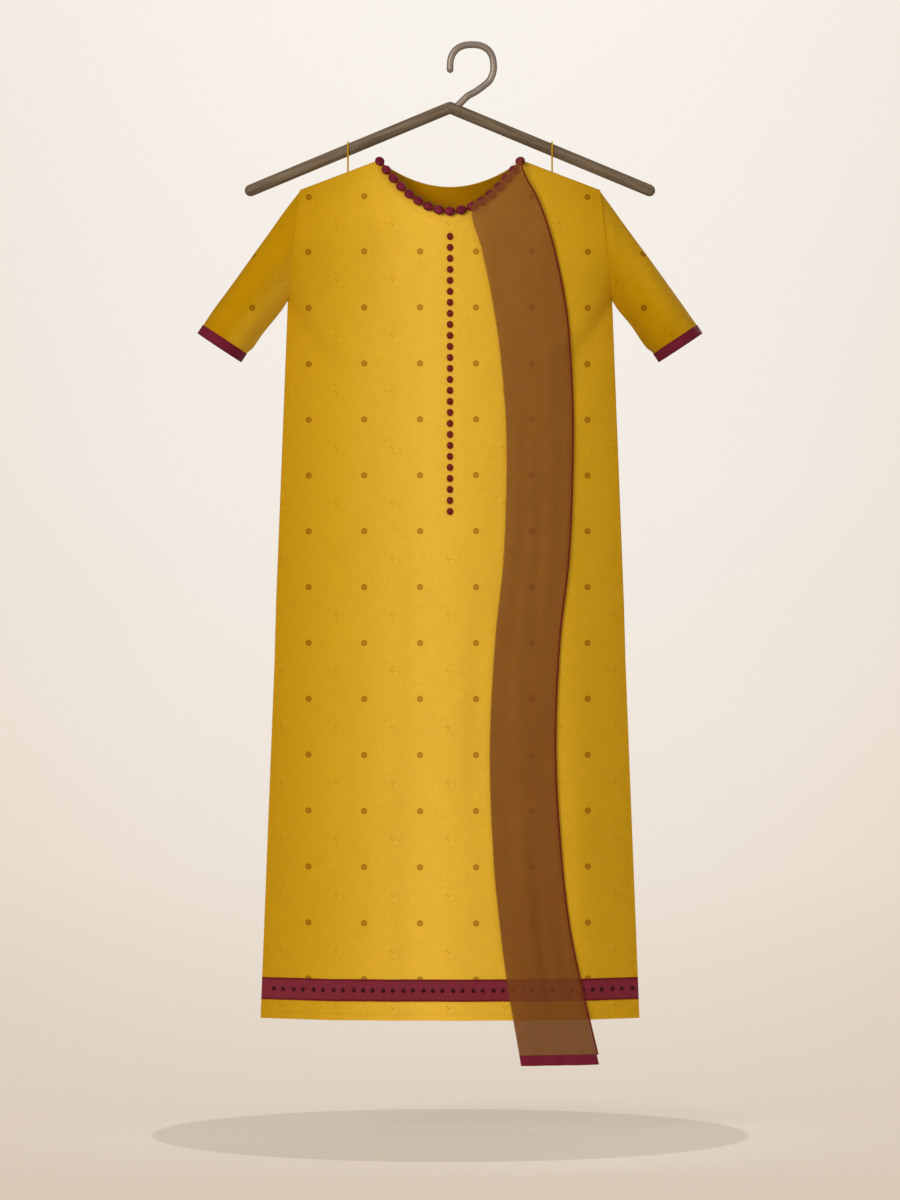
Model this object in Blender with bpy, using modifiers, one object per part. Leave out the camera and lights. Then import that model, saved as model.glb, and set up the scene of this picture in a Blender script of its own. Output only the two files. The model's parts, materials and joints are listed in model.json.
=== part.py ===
"""A gold kameez with a brown dupatta over its neckline, hung from a wooden hanger.

Metres, +Z up, the front faces -Y. The origin is the inside top of the hanger's hook.
Every cloth piece is a thin wall of its own, open where a garment is open.
"""

import math

import bmesh
import bpy
from mathutils import Vector

# ---- driving dimensions -------------------------------------------------------------

CENTRE_X = -0.0275          # the garment's middle lies this far left of the hook's top
CLOTH = 0.0020              # wall of the cotton panels
GAP = 0.0003                # clearance left at every seam

NECK_Z = -0.1415            # height of the two neck points
NECK_HALF_WIDTH = 0.0900
FRONT_NECK_DEPTH = 0.0666
BACK_NECK_DEPTH = 0.0340
SHOULDER_HALF_WIDTH = 0.1875
SHOULDER_DROP = 0.0370      # from a neck point to a shoulder tip
UNDERARM_HALF_WIDTH = 0.2025
UNDERARM_DROP = 0.1744      # from a neck point to the underarm
HEM_HALF_WIDTH = 0.2375
LENGTH = 1.0744             # from a neck point to the hem

CHEST_HALF_DEPTH = 0.038    # front to back at the chest, from the side seams' plane
HEM_HALF_DEPTH = 0.050
SHOULDER_ROUNDING = 0.090   # drop over which the panels come out to their full depth
SECTION_POWER = 2.6         # how flat the panels are across their width
ARMHOLE_SHARE = 0.92        # armhole depth as a share of the panel's own depth
ARMHOLE_POWER = 0.75        # how it closes towards the underarm
SLIT_DROP = 0.620           # the side seams are open below this drop
SLIT_HALF_GAP = 0.0020      # at the hem

FOLD_START_DROP = 0.260
FRONT_FOLDS = ((-0.148, 0.030, 0.0065), (-0.078, 0.024, 0.0050), (0.012, 0.030, 0.0040),
               (0.096, 0.026, 0.0052), (0.166, 0.028, 0.0062))   # place, half width, height
BACK_FOLDS = ((-0.160, 0.028, 0.0060), (-0.092, 0.030, 0.0056), (-0.010, 0.026, 0.0048),
              (0.070, 0.028, 0.0056), (0.142, 0.030, 0.0064))

SLEEVE_OUTER_REACH = (0.3080, 0.2069)   # cuff end of the shoulder edge: out, down
SLEEVE_INNER_REACH = (0.2553, 0.2419)   # cuff end of the underarm edge: out, down
CUFF_HALF_DEPTH = 0.040
CUFF_BAND = 0.0120
BAND_WALL = 0.0012

HEM_BAND_TOP = 0.0514       # above the hem edge
HEM_BAND_BOTTOM = 0.0238

BEADS = 17
BEAD_HALF_HEIGHT = 0.0054
BEAD_HALF_DEPTH = 0.0036
BEAD_WAIST = 0.42           # radius between two beads as a share of a bead's own

BUTTONS = 26
BUTTON_FIRST_DROP = 0.0969
BUTTON_PITCH = 0.01373
BUTTON_SIZE = (0.0075, 0.0030, 0.00875)

DUPATTA_WALL = 0.0016
DUPATTA_LIFT = 0.0016       # between the kameez and the inside of the fall
DUPATTA_BEAD_LIFT = 0.0030  # more where it comes down off the beads
DUPATTA_END_DROP = 1.1181
DUPATTA_BAND = 0.0125
DUPATTA_BAND_WALL = 0.0022
DUPATTA_TOP = (0.0262, 0.0895)          # left and right end of its line over the neck edge
DUPATTA_PLEATS = 3.5
DUPATTA_PLEAT_HEIGHT = 0.0011
DUPATTA_SPREAD_DROP = 0.045             # the top's own width changes to the fall's over this
FRONT_FALL_START = 0.016                # its first row under the turn
INNER_FALL_TOP = (0.0280, 0.0730)       # it is gathered narrower behind the neck edge
INNER_FALL_END_DROP = 0.985
INNER_FALL_GAP = 0.0024
INNER_FALL_START = 0.020                # its first row under the turn
PIPING_RADIUS = 0.0012
PIPING_LEAN = 0.0006                    # the wall's edge leans this far outward
PIPING_FIRST_ROW = 1                    # the fall's row where it starts, below the beads

# drop below the neck points, then the fall's left and right edge right of the middle
DUPATTA_EDGES = (
    (0.008, 0.0245, 0.0900),
    (0.063, 0.0264, 0.1136),
    (0.115, 0.0396, 0.1294),
    (0.185, 0.0539, 0.1435),
    (0.254, 0.0635, 0.1500),
    (0.349, 0.0700, 0.1526),
    (0.493, 0.0668, 0.1477),
    (0.603, 0.0558, 0.1356),
    (0.740, 0.0492, 0.1304),
    (0.876, 0.0540, 0.1380),
    (0.957, 0.0618, 0.1475),
    (1.022, 0.0701, 0.1606),
    (1.131, 0.0885, 0.1862),
)
# how the cloth turns over the beaded edge: out from the panel's face, above the neck edge
TURN_OVER = ((0.0000, 0.0060), (0.0040, 0.0062), (0.0076, 0.0046), (0.0090, 0.0008),
             (0.0090, -0.0050))
# how it turns down inside: behind the panel's face, above the neck edge
TURN_IN = ((0.0008, 0.0060), (0.0030, 0.0054), (0.0042, 0.0030), (0.0044, -0.0020),
           (0.0042, -0.0080))

BAR_RADIUS = 0.0075
BAR_HALF_SPAN = 0.2500      # to the centre of a round end
BAR_APEX_Z = -0.0746
BAR_RISE = 0.1038           # of the apex above the ends
HOOK_RADIUS = 0.0044
HOOK_HALF_WIDTH = 0.0273    # centreline
HOOK_RISE = 0.0274          # of its top over its widest
HOOK_SQUARENESS = 2.4       # 2 would be a round bend
HOOK_TIP = (-0.0273, -0.0312)
# the hook's centreline after its bend, from the right side down into the bar
HOOK_LEG = ((0.0271, -0.0282), (0.0252, -0.0346), (0.0215, -0.0413), (0.0156, -0.0465),
            (0.0049, -0.0544), (-0.0051, -0.0601), (-0.0151, -0.0695), (-0.0190, -0.0732))

LOOP_X = 0.1280             # hanger loops, out from the middle
LOOP_RADIUS = 0.0012

PANEL_COLUMNS = 24
YOKE_ROWS = 8
SKIRT_ROWS = 13
SLEEVE_SIDES = 20
SLEEVE_ROWS = 7
FALL_COLUMNS = 10
FRONT_FALL_ROWS = 26
INNER_FALL_ROWS = 20

# ---- materials ----------------------------------------------------------------------

MATERIALS = {
    "gold_cotton": ((0.56, 0.32, 0.03), 0.85, 0.0),
    "maroon_trim": ((0.13, 0.02, 0.04), 0.80, 0.0),
    "maroon_bead": ((0.13, 0.01, 0.04), 0.35, 0.0),
    "maroon_button": ((0.15, 0.02, 0.02), 0.40, 0.0),
    "brown_sheer": ((0.19, 0.08, 0.02), 0.80, 0.0),
    "dark_wood": ((0.16, 0.10, 0.06), 0.45, 0.0),
    "hook_metal": ((0.27, 0.20, 0.16), 0.35, 1.0),
}


def material(name):
    """The named Principled material, made once."""
    found = bpy.data.materials.get(name)
    if found:
        return found
    colour, roughness, metallic = MATERIALS[name]
    made = bpy.data.materials.new(name)
    made.use_nodes = True
    shader = made.node_tree.nodes["Principled BSDF"]
    shader.inputs["Base Color"].default_value = (*colour, 1.0)
    shader.inputs["Roughness"].default_value = roughness
    shader.inputs["Metallic"].default_value = metallic
    return made


# ---- scene --------------------------------------------------------------------------


def clear_scene():
    for item in list(bpy.data.objects):
        bpy.data.objects.remove(item, do_unlink=True)


def collection(name):
    made = bpy.data.collections.new(name)
    bpy.context.scene.collection.children.link(made)
    return made


def add_mesh(name, mesh, finish, group):
    """An object for this mesh, in its collection, with its material, shaded smooth."""
    item = bpy.data.objects.new(name, mesh)
    group.objects.link(item)
    mesh.materials.append(material(finish))
    mesh.shade_smooth()
    mesh.set_sharp_from_angle(angle=math.radians(40))
    return item


def grid_mesh(name, columns, rows, place):
    """An open surface: place(i, j) gives the point at column i of row j."""
    shape = bmesh.new()
    corners = [[shape.verts.new(place(i, j)) for i in range(columns + 1)]
               for j in range(rows + 1)]
    for low, high in zip(corners, corners[1:]):
        for i in range(columns):
            shape.faces.new((low[i], high[i], high[i + 1], low[i + 1]))
    mesh = bpy.data.meshes.new(name)
    shape.to_mesh(mesh)
    shape.free()
    return mesh


def thicken(mesh, move):
    """Close an open surface into a wall by extruding all of it along move."""
    shape = bmesh.new()
    shape.from_mesh(mesh)
    made = bmesh.ops.extrude_face_region(shape, geom=shape.faces[:], use_keep_orig=True)
    moved = [v for v in made["geom"] if isinstance(v, bmesh.types.BMVert)]
    bmesh.ops.translate(shape, vec=move, verts=moved)
    bmesh.ops.recalc_face_normals(shape, faces=shape.faces[:])
    shape.to_mesh(mesh)
    shape.free()


def loft(name, rings, capped):
    """A closed solid through rings: capped at both ends, or last ring back to first."""
    shape = bmesh.new()
    corners = [[shape.verts.new(p) for p in ring] for ring in rings]
    sides = len(rings[0])
    following = corners[1:] if capped else corners[1:] + corners[:1]
    for low, high in zip(corners, following):
        for i in range(sides):
            k = (i + 1) % sides
            shape.faces.new((low[i], low[k], high[k], high[i]))
    if capped:
        shape.faces.new(corners[0])
        shape.faces.new(corners[-1])
    bmesh.ops.recalc_face_normals(shape, faces=shape.faces[:])
    mesh = bpy.data.meshes.new(name)
    shape.to_mesh(mesh)
    shape.free()
    return mesh


def tube(name, points, radius, group, finish, radii=None, cyclic=False, resolution=2):
    """A round tube along points, as a mesh whose caps are welded."""
    line = bpy.data.curves.new(name, "CURVE")
    line.dimensions = "3D"
    line.bevel_depth = radius
    line.bevel_resolution = resolution
    line.use_fill_caps = True
    spline = line.splines.new("POLY")
    spline.points.add(len(points) - 1)
    for i, point in enumerate(points):
        spline.points[i].co = (*point, 1.0)
        spline.points[i].radius = radii[i] if radii else 1.0
    spline.use_cyclic_u = cyclic
    guide = bpy.data.objects.new(name + "_line", line)
    group.objects.link(guide)
    seen = guide.evaluated_get(bpy.context.evaluated_depsgraph_get())
    mesh = bpy.data.meshes.new_from_object(seen)
    bpy.data.objects.remove(guide, do_unlink=True)
    shape = bmesh.new()
    shape.from_mesh(mesh)
    bmesh.ops.remove_doubles(shape, verts=shape.verts[:], dist=1e-6)
    bmesh.ops.recalc_face_normals(shape, faces=shape.faces[:])
    shape.to_mesh(mesh)
    shape.free()
    mesh.materials.clear()
    return add_mesh(name, mesh, finish, group)


# ---- small curves -------------------------------------------------------------------


def smooth(share):
    share = min(max(share, 0.0), 1.0)
    return share * share * (3 - 2 * share)


def blend(a, b, share):
    return a + (b - a) * share


def curve_through(rows, at):
    """A smooth line (Catmull-Rom) through rows of (at, value, value...)."""
    at = min(max(at, rows[0][0]), rows[-1][0])
    k = max(i for i in range(len(rows) - 1) if rows[i][0] <= at)
    low, high = rows[k], rows[k + 1]
    before, after = rows[max(k - 1, 0)], rows[min(k + 2, len(rows) - 1)]
    span = high[0] - low[0]
    t = (at - low[0]) / span
    values = []
    for c in range(1, len(low)):
        start = (high[c] - before[c]) / (high[0] - before[0]) * span
        end = (after[c] - low[c]) / (after[0] - low[0]) * span
        values.append((2 * t**3 - 3 * t**2 + 1) * low[c] + (t**3 - 2 * t**2 + t) * start
                      + (3 * t**2 - 2 * t**3) * high[c] + (t**3 - t**2) * end)
    return values


def resample(points, count):
    """The same number of even steps along a smooth line through 2D points."""
    rows = [(i, *p) for i, p in enumerate(points)]
    fine = [curve_through(rows, (len(points) - 1) * i / 200) for i in range(201)]
    lengths = [0.0]
    for a, b in zip(fine, fine[1:]):
        lengths.append(lengths[-1] + math.dist(a, b))
    even = []
    for i in range(count):
        goal = lengths[-1] * i / (count - 1)
        k = max(j for j in range(200) if lengths[j] <= goal or j == 0)
        share = (goal - lengths[k]) / (lengths[k + 1] - lengths[k])
        even.append([blend(a, b, share) for a, b in zip(fine[k], fine[k + 1])])
    return even


# ---- the kameez's form --------------------------------------------------------------


def half_width(drop):
    """Half the body's width at a drop below the neck points."""
    if drop <= SHOULDER_DROP:
        return SHOULDER_HALF_WIDTH
    if drop <= UNDERARM_DROP:
        share = (drop - SHOULDER_DROP) / (UNDERARM_DROP - SHOULDER_DROP)
        return blend(SHOULDER_HALF_WIDTH, UNDERARM_HALF_WIDTH, share)
    return blend(UNDERARM_HALF_WIDTH, HEM_HALF_WIDTH,
                 (drop - UNDERARM_DROP) / (LENGTH - UNDERARM_DROP))


def shoulder_drop_at(x):
    """Drop of the shoulder line, level across the neck."""
    out = max(abs(x) - NECK_HALF_WIDTH, 0.0)
    return SHOULDER_DROP * out / (SHOULDER_HALF_WIDTH - NECK_HALF_WIDTH)


def top_drop_at(x, neck_depth):
    """Drop of the panel's top edge: the neckline, then the shoulder seam."""
    if abs(x) < NECK_HALF_WIDTH:
        return neck_depth * (1 - (x / NECK_HALF_WIDTH) ** 2)
    return shoulder_drop_at(x)


def folds_at(x, drop, folds):
    """Soft vertical folds that grow towards the hem."""
    grown = smooth((drop - FOLD_START_DROP) / (LENGTH - FOLD_START_DROP))
    spread = half_width(drop) / HEM_HALF_WIDTH
    rise = sum(height * math.exp(-((x - place * spread) / (width * spread)) ** 2)
               for place, width, height in folds)
    return grown * rise


def depth_at(x, drop, folds):
    """How far the panel's outer face stands off the side seams' plane."""
    edge = CLOTH + GAP / 2
    across = min(abs(x) / half_width(drop), 1.0)
    below = max(drop - shoulder_drop_at(x), 0.0)
    out = math.sin(math.pi / 2 * min(below / SHOULDER_ROUNDING, 1.0))
    full = blend(CHEST_HALF_DEPTH, HEM_HALF_DEPTH, smooth((drop - UNDERARM_DROP) / LENGTH))
    armhole = 0.0
    if drop < UNDERARM_DROP:
        share = max(drop - SHOULDER_DROP, 0.0) / (UNDERARM_DROP - SHOULDER_DROP)
        armhole = ARMHOLE_SHARE * (1 - share**2) ** ARMHOLE_POWER
    bulge = armhole + (1 - armhole) * (1 - across**SECTION_POWER)
    slit = SLIT_HALF_GAP * smooth((drop - SLIT_DROP) / (LENGTH - SLIT_DROP))
    wave = folds_at(x, drop, folds) * (1 - across**6)
    return edge + slit + (full - edge) * out * bulge + wave


def front_y(x, drop):
    return -depth_at(x, drop, FRONT_FOLDS)


def back_y(x, drop):
    return depth_at(x, drop, BACK_FOLDS)


def world(x, y, drop):
    """A point given from the garment's middle and below its neck points."""
    return Vector((CENTRE_X + x, y, NECK_Z - drop))


def column_shares():
    """Places across a panel from -1 to 1, with one on each neck point."""
    neck = NECK_HALF_WIDTH / SHOULDER_HALF_WIDTH
    inner = PANEL_COLUMNS // 2
    outer = (PANEL_COLUMNS - inner) // 2
    left = [-1 + (1 - neck) * i / outer for i in range(outer)]
    middle = [-neck + 2 * neck * i / inner for i in range(inner + 1)]
    right = [neck + (1 - neck) * (i + 1) / outer for i in range(outer)]
    return left + middle + right


def skirt_drops():
    """Levels from the underarm to the hem, with the hem band's edges among them."""
    band = [LENGTH - HEM_BAND_TOP, LENGTH - HEM_BAND_BOTTOM, LENGTH]
    plain = SKIRT_ROWS - len(band)
    return [blend(UNDERARM_DROP, band[0], (i + 1) / (plain + 1)) for i in range(plain)] + band


def panel(name, side_y, neck_depth, toward, group):
    """A body panel: the yoke between the top edge and the underarm, then the skirt."""
    shares = column_shares()
    levels = skirt_drops()

    def place(i, j):
        top = top_drop_at(shares[i] * SHOULDER_HALF_WIDTH, neck_depth)
        if j <= YOKE_ROWS:
            drop = blend(top, UNDERARM_DROP, j / YOKE_ROWS)
        else:
            drop = levels[j - YOKE_ROWS - 1]
        x = shares[i] * half_width(drop)
        return world(x, side_y(x, drop), drop)

    mesh = grid_mesh(name, PANEL_COLUMNS, YOKE_ROWS + SKIRT_ROWS, place)
    thicken(mesh, Vector((0, toward * CLOTH, 0)))
    return add_mesh(name, mesh, "gold_cotton", group)


def hem_band(name, side_y, toward, group):
    """The maroon band that lies on a panel's skirt."""
    shares = column_shares()
    levels = (LENGTH - HEM_BAND_TOP, LENGTH - HEM_BAND_BOTTOM)

    def place(i, j):
        x = shares[i] * half_width(levels[j])
        return world(x, side_y(x, levels[j]) - toward * (GAP + BAND_WALL), levels[j])

    mesh = grid_mesh(name, PANEL_COLUMNS, 1, place)
    thicken(mesh, Vector((0, toward * BAND_WALL, 0)))
    return add_mesh(name, mesh, "maroon_trim", group)


# ---- sleeves ------------------------------------------------------------------------


def sleeve_ring(side, share, inset, beyond=0.0):
    """One ring of a sleeve, from the armhole (0) to the cuff (1), beyond it for a band."""
    outer = Vector((blend(SHOULDER_HALF_WIDTH, SLEEVE_OUTER_REACH[0], share),
                    blend(SHOULDER_DROP, SLEEVE_OUTER_REACH[1], share)))
    inner = Vector((blend(UNDERARM_HALF_WIDTH, SLEEVE_INNER_REACH[0], share),
                    blend(UNDERARM_DROP, SLEEVE_INNER_REACH[1], share)))
    along = (outer - inner).normalized()
    out = Vector((-along.y, along.x))
    if out.x < 0:
        out = -out
    middle = (outer + inner) / 2 + out * beyond
    reach = (outer - inner).length / 2 - inset
    ring = []
    for k in range(SLEEVE_SIDES):
        angle = 2 * math.pi * k / SLEEVE_SIDES
        place = (1 - math.cos(angle)) / 2
        drop = blend(SHOULDER_DROP, UNDERARM_DROP, place)
        armhole = depth_at(half_width(drop), drop, FRONT_FOLDS)
        depth = blend(armhole * (1 if math.sin(angle) > 0 else -1) if place not in (0, 1) else 0,
                      CUFF_HALF_DEPTH * math.sin(angle), smooth(share))
        depth -= math.copysign(min(inset, abs(depth)), depth)
        spot = middle + along * reach * math.cos(angle)
        ring.append(world(side * spot.x, depth, spot.y))
    return ring


def sleeve(name, side, group):
    """A short sleeve: one open tube from the armhole to the cuff."""
    clear = 1.0 / 200
    shares = [clear + (1 - clear) * j / SLEEVE_ROWS for j in range(SLEEVE_ROWS + 1)]
    outside = [sleeve_ring(side, share, 0.0) for share in shares]
    inside = [sleeve_ring(side, share, CLOTH) for share in reversed(shares)]
    return add_mesh(name, loft(name, outside + inside, capped=False), "gold_cotton", group)


def cuff(name, side, group):
    """The maroon band sewn on a sleeve's end."""
    outside = [sleeve_ring(side, 1.0, 0.0, beyond) for beyond in (GAP, GAP + CUFF_BAND)]
    inside = [sleeve_ring(side, 1.0, CLOTH, beyond) for beyond in (GAP + CUFF_BAND, GAP)]
    return add_mesh(name, loft(name, outside + inside, capped=False), "maroon_trim", group)


# ---- trims --------------------------------------------------------------------------


def face_frame(x, drop):
    """The front panel's outer face at a place: the point and the way out of it."""
    step = 0.001
    point = world(x, front_y(x, drop), drop)
    across = world(x + step, front_y(x + step, drop), drop) - point
    down = world(x, front_y(x, drop + step), drop + step) - point
    out = across.cross(down).normalized()
    return point, out if out.y < 0 else -out


def bead_strand(name, group):
    """Beads touching in a row along the front neckline, one string."""
    steps = 4
    count = (BEADS - 1) * steps
    neck = [(x, top_drop_at(x, FRONT_NECK_DEPTH)) for x in
            (blend(-1, 1, i / 100) * (NECK_HALF_WIDTH - 0.0020) for i in range(101))]
    line = resample(neck, count + 1)
    spots = []
    for x, drop in line:
        point, out = face_frame(x, drop)
        spots.append((point + out * (BEAD_HALF_DEPTH + GAP + 0.0004), out))
    rings = []
    half = (spots[1][0] - spots[0][0]) * steps / 2
    for i in range(-2, count + 3):
        k = min(max(i, 0), count)
        spot, out = spots[k]
        if i < 0:
            spot = spot + half * i / 2
        if i > count:
            spot = spot + (spots[-1][0] - spots[-2][0]) * (i - count)
        ahead, behind = spots[min(k + 1, count)][0], spots[max(k - 1, 0)][0]
        along = (ahead - behind).normalized()
        up = along.cross(out).normalized()
        phase = i / steps
        size = math.sqrt(max(1 - (2 * abs(phase - round(phase))) ** 2, 0.0))
        if abs(phase - round(phase)) == 0.5 and -1 < i < count + 1:
            size = BEAD_WAIST
        size = max(size, BEAD_WAIST)
        rings.append([spot + up * BEAD_HALF_HEIGHT * size * math.cos(a)
                      + out * BEAD_HALF_DEPTH * size * math.sin(a)
                      for a in (2 * math.pi * s / 8 for s in range(8))])
    return add_mesh(name, loft(name, rings, capped=True), "maroon_bead", group)


def button(name, drop, group):
    """A small oval button, domed at its front."""
    wide, thick, tall = BUTTON_SIZE
    shape = bmesh.new()
    bmesh.ops.create_cone(shape, cap_ends=True, segments=10, radius1=0.5, radius2=0.32, depth=1.0)
    turned = [(v.co.x * wide, -v.co.z * thick, v.co.y * tall) for v in shape.verts]
    for vertex, spot in zip(shape.verts, turned):
        vertex.co = spot
    mesh = bpy.data.meshes.new(name)
    shape.to_mesh(mesh)
    shape.free()
    item = add_mesh(name, mesh, "maroon_button", group)
    item.location = world(0, front_y(0, drop) - GAP - thick / 2, drop)
    return item


# ---- dupatta ------------------------------------------------------------------------


def fall_x(share, drop, top_line):
    """Place across a fall, from its own line on the neck edge to its full width."""
    left, right = curve_through(DUPATTA_EDGES, drop)
    top = blend(*top_line, share)
    below = drop - top_drop_at(top, FRONT_NECK_DEPTH)
    return blend(top, blend(left, right, share), smooth(below / DUPATTA_SPREAD_DROP))


def fall_level(start, end, share):
    """The drop of a row between the turn and the fall's end, the first rows closer."""
    return blend(start, end, share**1.25)


def turned(x_top, out_by, above):
    """A point near the neck edge: out from the panel's face, above or below the edge."""
    drop = top_drop_at(x_top, FRONT_NECK_DEPTH)
    if above < 0:
        point, out = face_frame(x_top, drop - above)
        return point + out * out_by
    point, out = face_frame(x_top, drop)
    slope = 2 * FRONT_NECK_DEPTH * x_top / NECK_HALF_WIDTH**2
    edge = Vector((1, 0, slope))
    up = (edge - out * edge.dot(out)).normalized().cross(-out)
    return point + out * out_by + up * above


def pleat(share, drop):
    """Height of the lengthwise pleats, none at the neck edge."""
    grown = smooth((drop - FRONT_NECK_DEPTH) / 0.15)
    return DUPATTA_PLEAT_HEIGHT * (1 - math.cos(2 * math.pi * DUPATTA_PLEATS * share)) * grown


def front_fall_point(share, drop):
    """A point on the inside of the front fall, below the turn."""
    x = fall_x(share, drop, DUPATTA_TOP)
    below = drop - top_drop_at(blend(*DUPATTA_TOP, share), FRONT_NECK_DEPTH)
    off_beads = DUPATTA_BEAD_LIFT * (1 - smooth((below - 0.02) / 0.12))
    panel_face = front_y(x, min(drop, LENGTH)) - BAND_WALL
    return world(x, panel_face - DUPATTA_LIFT - off_beads - pleat(share, drop), drop)


def front_fall_level(share, row):
    """The drop of one of the front fall's rows, counted from just under the turn."""
    top_drop = top_drop_at(blend(*DUPATTA_TOP, share), FRONT_NECK_DEPTH)
    return fall_level(top_drop + FRONT_FALL_START, DUPATTA_END_DROP, row / FRONT_FALL_ROWS)


def front_fall(name, group):
    """The fall in front: over the beaded neck edge and down past the hem."""
    def place(i, j):
        share = i / FALL_COLUMNS
        if j < len(TURN_OVER):
            return turned(blend(*DUPATTA_TOP, share), *TURN_OVER[j])
        return front_fall_point(share, front_fall_level(share, j - len(TURN_OVER)))

    mesh = grid_mesh(name, FALL_COLUMNS, len(TURN_OVER) + FRONT_FALL_ROWS, place)
    return solidify(add_mesh(name, mesh, "brown_sheer", group), DUPATTA_WALL)


def solidify(item, thickness):
    """A wall of this thickness grown out of an open surface, away from the kameez."""
    wall = item.modifiers.new("wall", "SOLIDIFY")
    wall.thickness = thickness
    wall.offset = 1.0
    return item


def inner_fall(name, group):
    """The other half of the cloth, hanging inside just behind the front panel."""
    def place(i, j):
        share = i / FALL_COLUMNS
        x_top = blend(*INNER_FALL_TOP, share)
        if j < len(TURN_IN):
            back, above = TURN_IN[j]
            return turned(x_top, -back, above)
        start = top_drop_at(x_top, FRONT_NECK_DEPTH) + INNER_FALL_START
        drop = fall_level(start, INNER_FALL_END_DROP, (j - len(TURN_IN)) / INNER_FALL_ROWS)
        x = fall_x(share, drop, INNER_FALL_TOP)
        return world(x, front_y(x, drop) + CLOTH + INNER_FALL_GAP, drop)

    mesh = grid_mesh(name, FALL_COLUMNS, len(TURN_IN) + INNER_FALL_ROWS, place)
    return solidify(add_mesh(name, mesh, "brown_sheer", group), -DUPATTA_WALL)


def end_band(name, group):
    """The maroon band on the end of the front fall."""
    def place(i, j):
        drop = DUPATTA_END_DROP + GAP + DUPATTA_BAND * j
        return front_fall_point(i / FALL_COLUMNS, drop)

    mesh = grid_mesh(name, FALL_COLUMNS, 1, place)
    thicken(mesh, Vector((0, -DUPATTA_BAND_WALL, 0)))
    return add_mesh(name, mesh, "maroon_trim", group)


def piping(name, group):
    """The dark selvedge cord on the fall's right edge."""
    beside = Vector((PIPING_RADIUS + GAP + PIPING_LEAN, -DUPATTA_WALL / 2, 0))
    levels = [front_fall_level(1.0, row) for row in range(PIPING_FIRST_ROW, FRONT_FALL_ROWS + 1)]
    points = [front_fall_point(1.0, level) + beside for level in levels]
    return tube(name, points, PIPING_RADIUS, group, "maroon_trim")


# ---- hanger -------------------------------------------------------------------------


def bar_z(out):
    """Height of the bar's centreline at a distance out from the middle."""
    return BAR_APEX_Z - BAR_RISE * out / BAR_HALF_SPAN


def arm(name, side, group):
    """Half of the bent round bar, with a round end, cut square at the middle."""
    length = math.hypot(BAR_HALF_SPAN, BAR_RISE)
    out = Vector((side * BAR_HALF_SPAN, 0, -BAR_RISE)) / length
    apex = Vector((CENTRE_X, 0, BAR_APEX_Z))
    points, radii = [apex - out * 0.010], [1.0]
    for i in range(6):
        angle = math.pi / 2 * i / 5 * 0.96
        points.append(apex + out * (length + BAR_RADIUS * math.sin(angle)))
        radii.append(math.cos(angle))
    item = tube(name, points, BAR_RADIUS, group, "dark_wood", radii=radii, resolution=6)
    shape = bmesh.new()
    shape.from_mesh(item.data)
    made = bmesh.ops.bisect_plane(shape, geom=shape.verts[:] + shape.edges[:] + shape.faces[:],
                                  plane_co=(CENTRE_X + side * GAP / 2, 0, 0),
                                  plane_no=(-side, 0, 0), clear_outer=True)
    rim = [e for e in made["geom_cut"] if isinstance(e, bmesh.types.BMEdge)]
    bmesh.ops.contextual_create(shape, geom=rim)
    bmesh.ops.recalc_face_normals(shape, faces=shape.faces[:])
    shape.to_mesh(item.data)
    shape.free()
    return item


def hook_points():
    """The hook's centreline: its tip, squarish bend and leg, down into the bar."""
    def squared(value):
        return math.copysign(abs(value) ** (2 / HOOK_SQUARENESS), value)

    turns = 14
    bend = []
    for i in range(turns + 1):
        angle = math.pi * (1 - i / turns)
        bend.append((HOOK_HALF_WIDTH * squared(math.cos(angle)),
                     HOOK_RADIUS + HOOK_RISE * (squared(max(math.sin(angle), 0.0)) - 1)))
    return resample([HOOK_TIP, *bend, *HOOK_LEG], 44)


def hook(name, group):
    """The metal hook, one bent wire."""
    points = [(x, 0.0, z) for x, z in hook_points()]
    return tube(name, points, HOOK_RADIUS, group, "hook_metal", resolution=3)


def bore(target, group):
    """A hole in the bar for the hook's stem."""
    points = [(x, 0.0, z) for x, z in hook_points()][-8:]
    step = Vector(points[-1]) - Vector(points[-2])
    points.append(tuple(Vector(points[-1]) + step.normalized() * GAP))
    cutter = tube("hook_bore", points, HOOK_RADIUS + GAP, group, "dark_wood", resolution=3)
    cutter.hide_render = True
    cutter.display_type = "WIRE"
    cut = target.modifiers.new("bore", "BOOLEAN")
    cut.operation = "DIFFERENCE"
    cut.solver = "EXACT"
    cut.object = cutter


def loop(name, x, group):
    """A fine cord sewn into a shoulder seam and looped over the bar."""
    slope = BAR_RISE / BAR_HALF_SPAN
    reach = BAR_RADIUS + LOOP_RADIUS + GAP
    over = reach * math.sqrt(1 + slope**2)
    bar = bar_z(abs(x))
    seam = NECK_Z - shoulder_drop_at(x) + LOOP_RADIUS + GAP
    points = []
    for i in range(9):
        angle = math.pi * i / 8
        points.append((CENTRE_X + x, reach * math.cos(angle), bar + over * math.sin(angle)))
    tail = 0.0012
    for y in (-reach * 0.55, -tail, tail, reach * 0.55):
        height = blend(seam, bar, (abs(y) - tail) / (reach - tail))
        points.append((CENTRE_X + x, y, height))
    return tube(name, points, LOOP_RADIUS, group, "gold_cotton", cyclic=True, resolution=1)


# ---- the whole ----------------------------------------------------------------------


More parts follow.
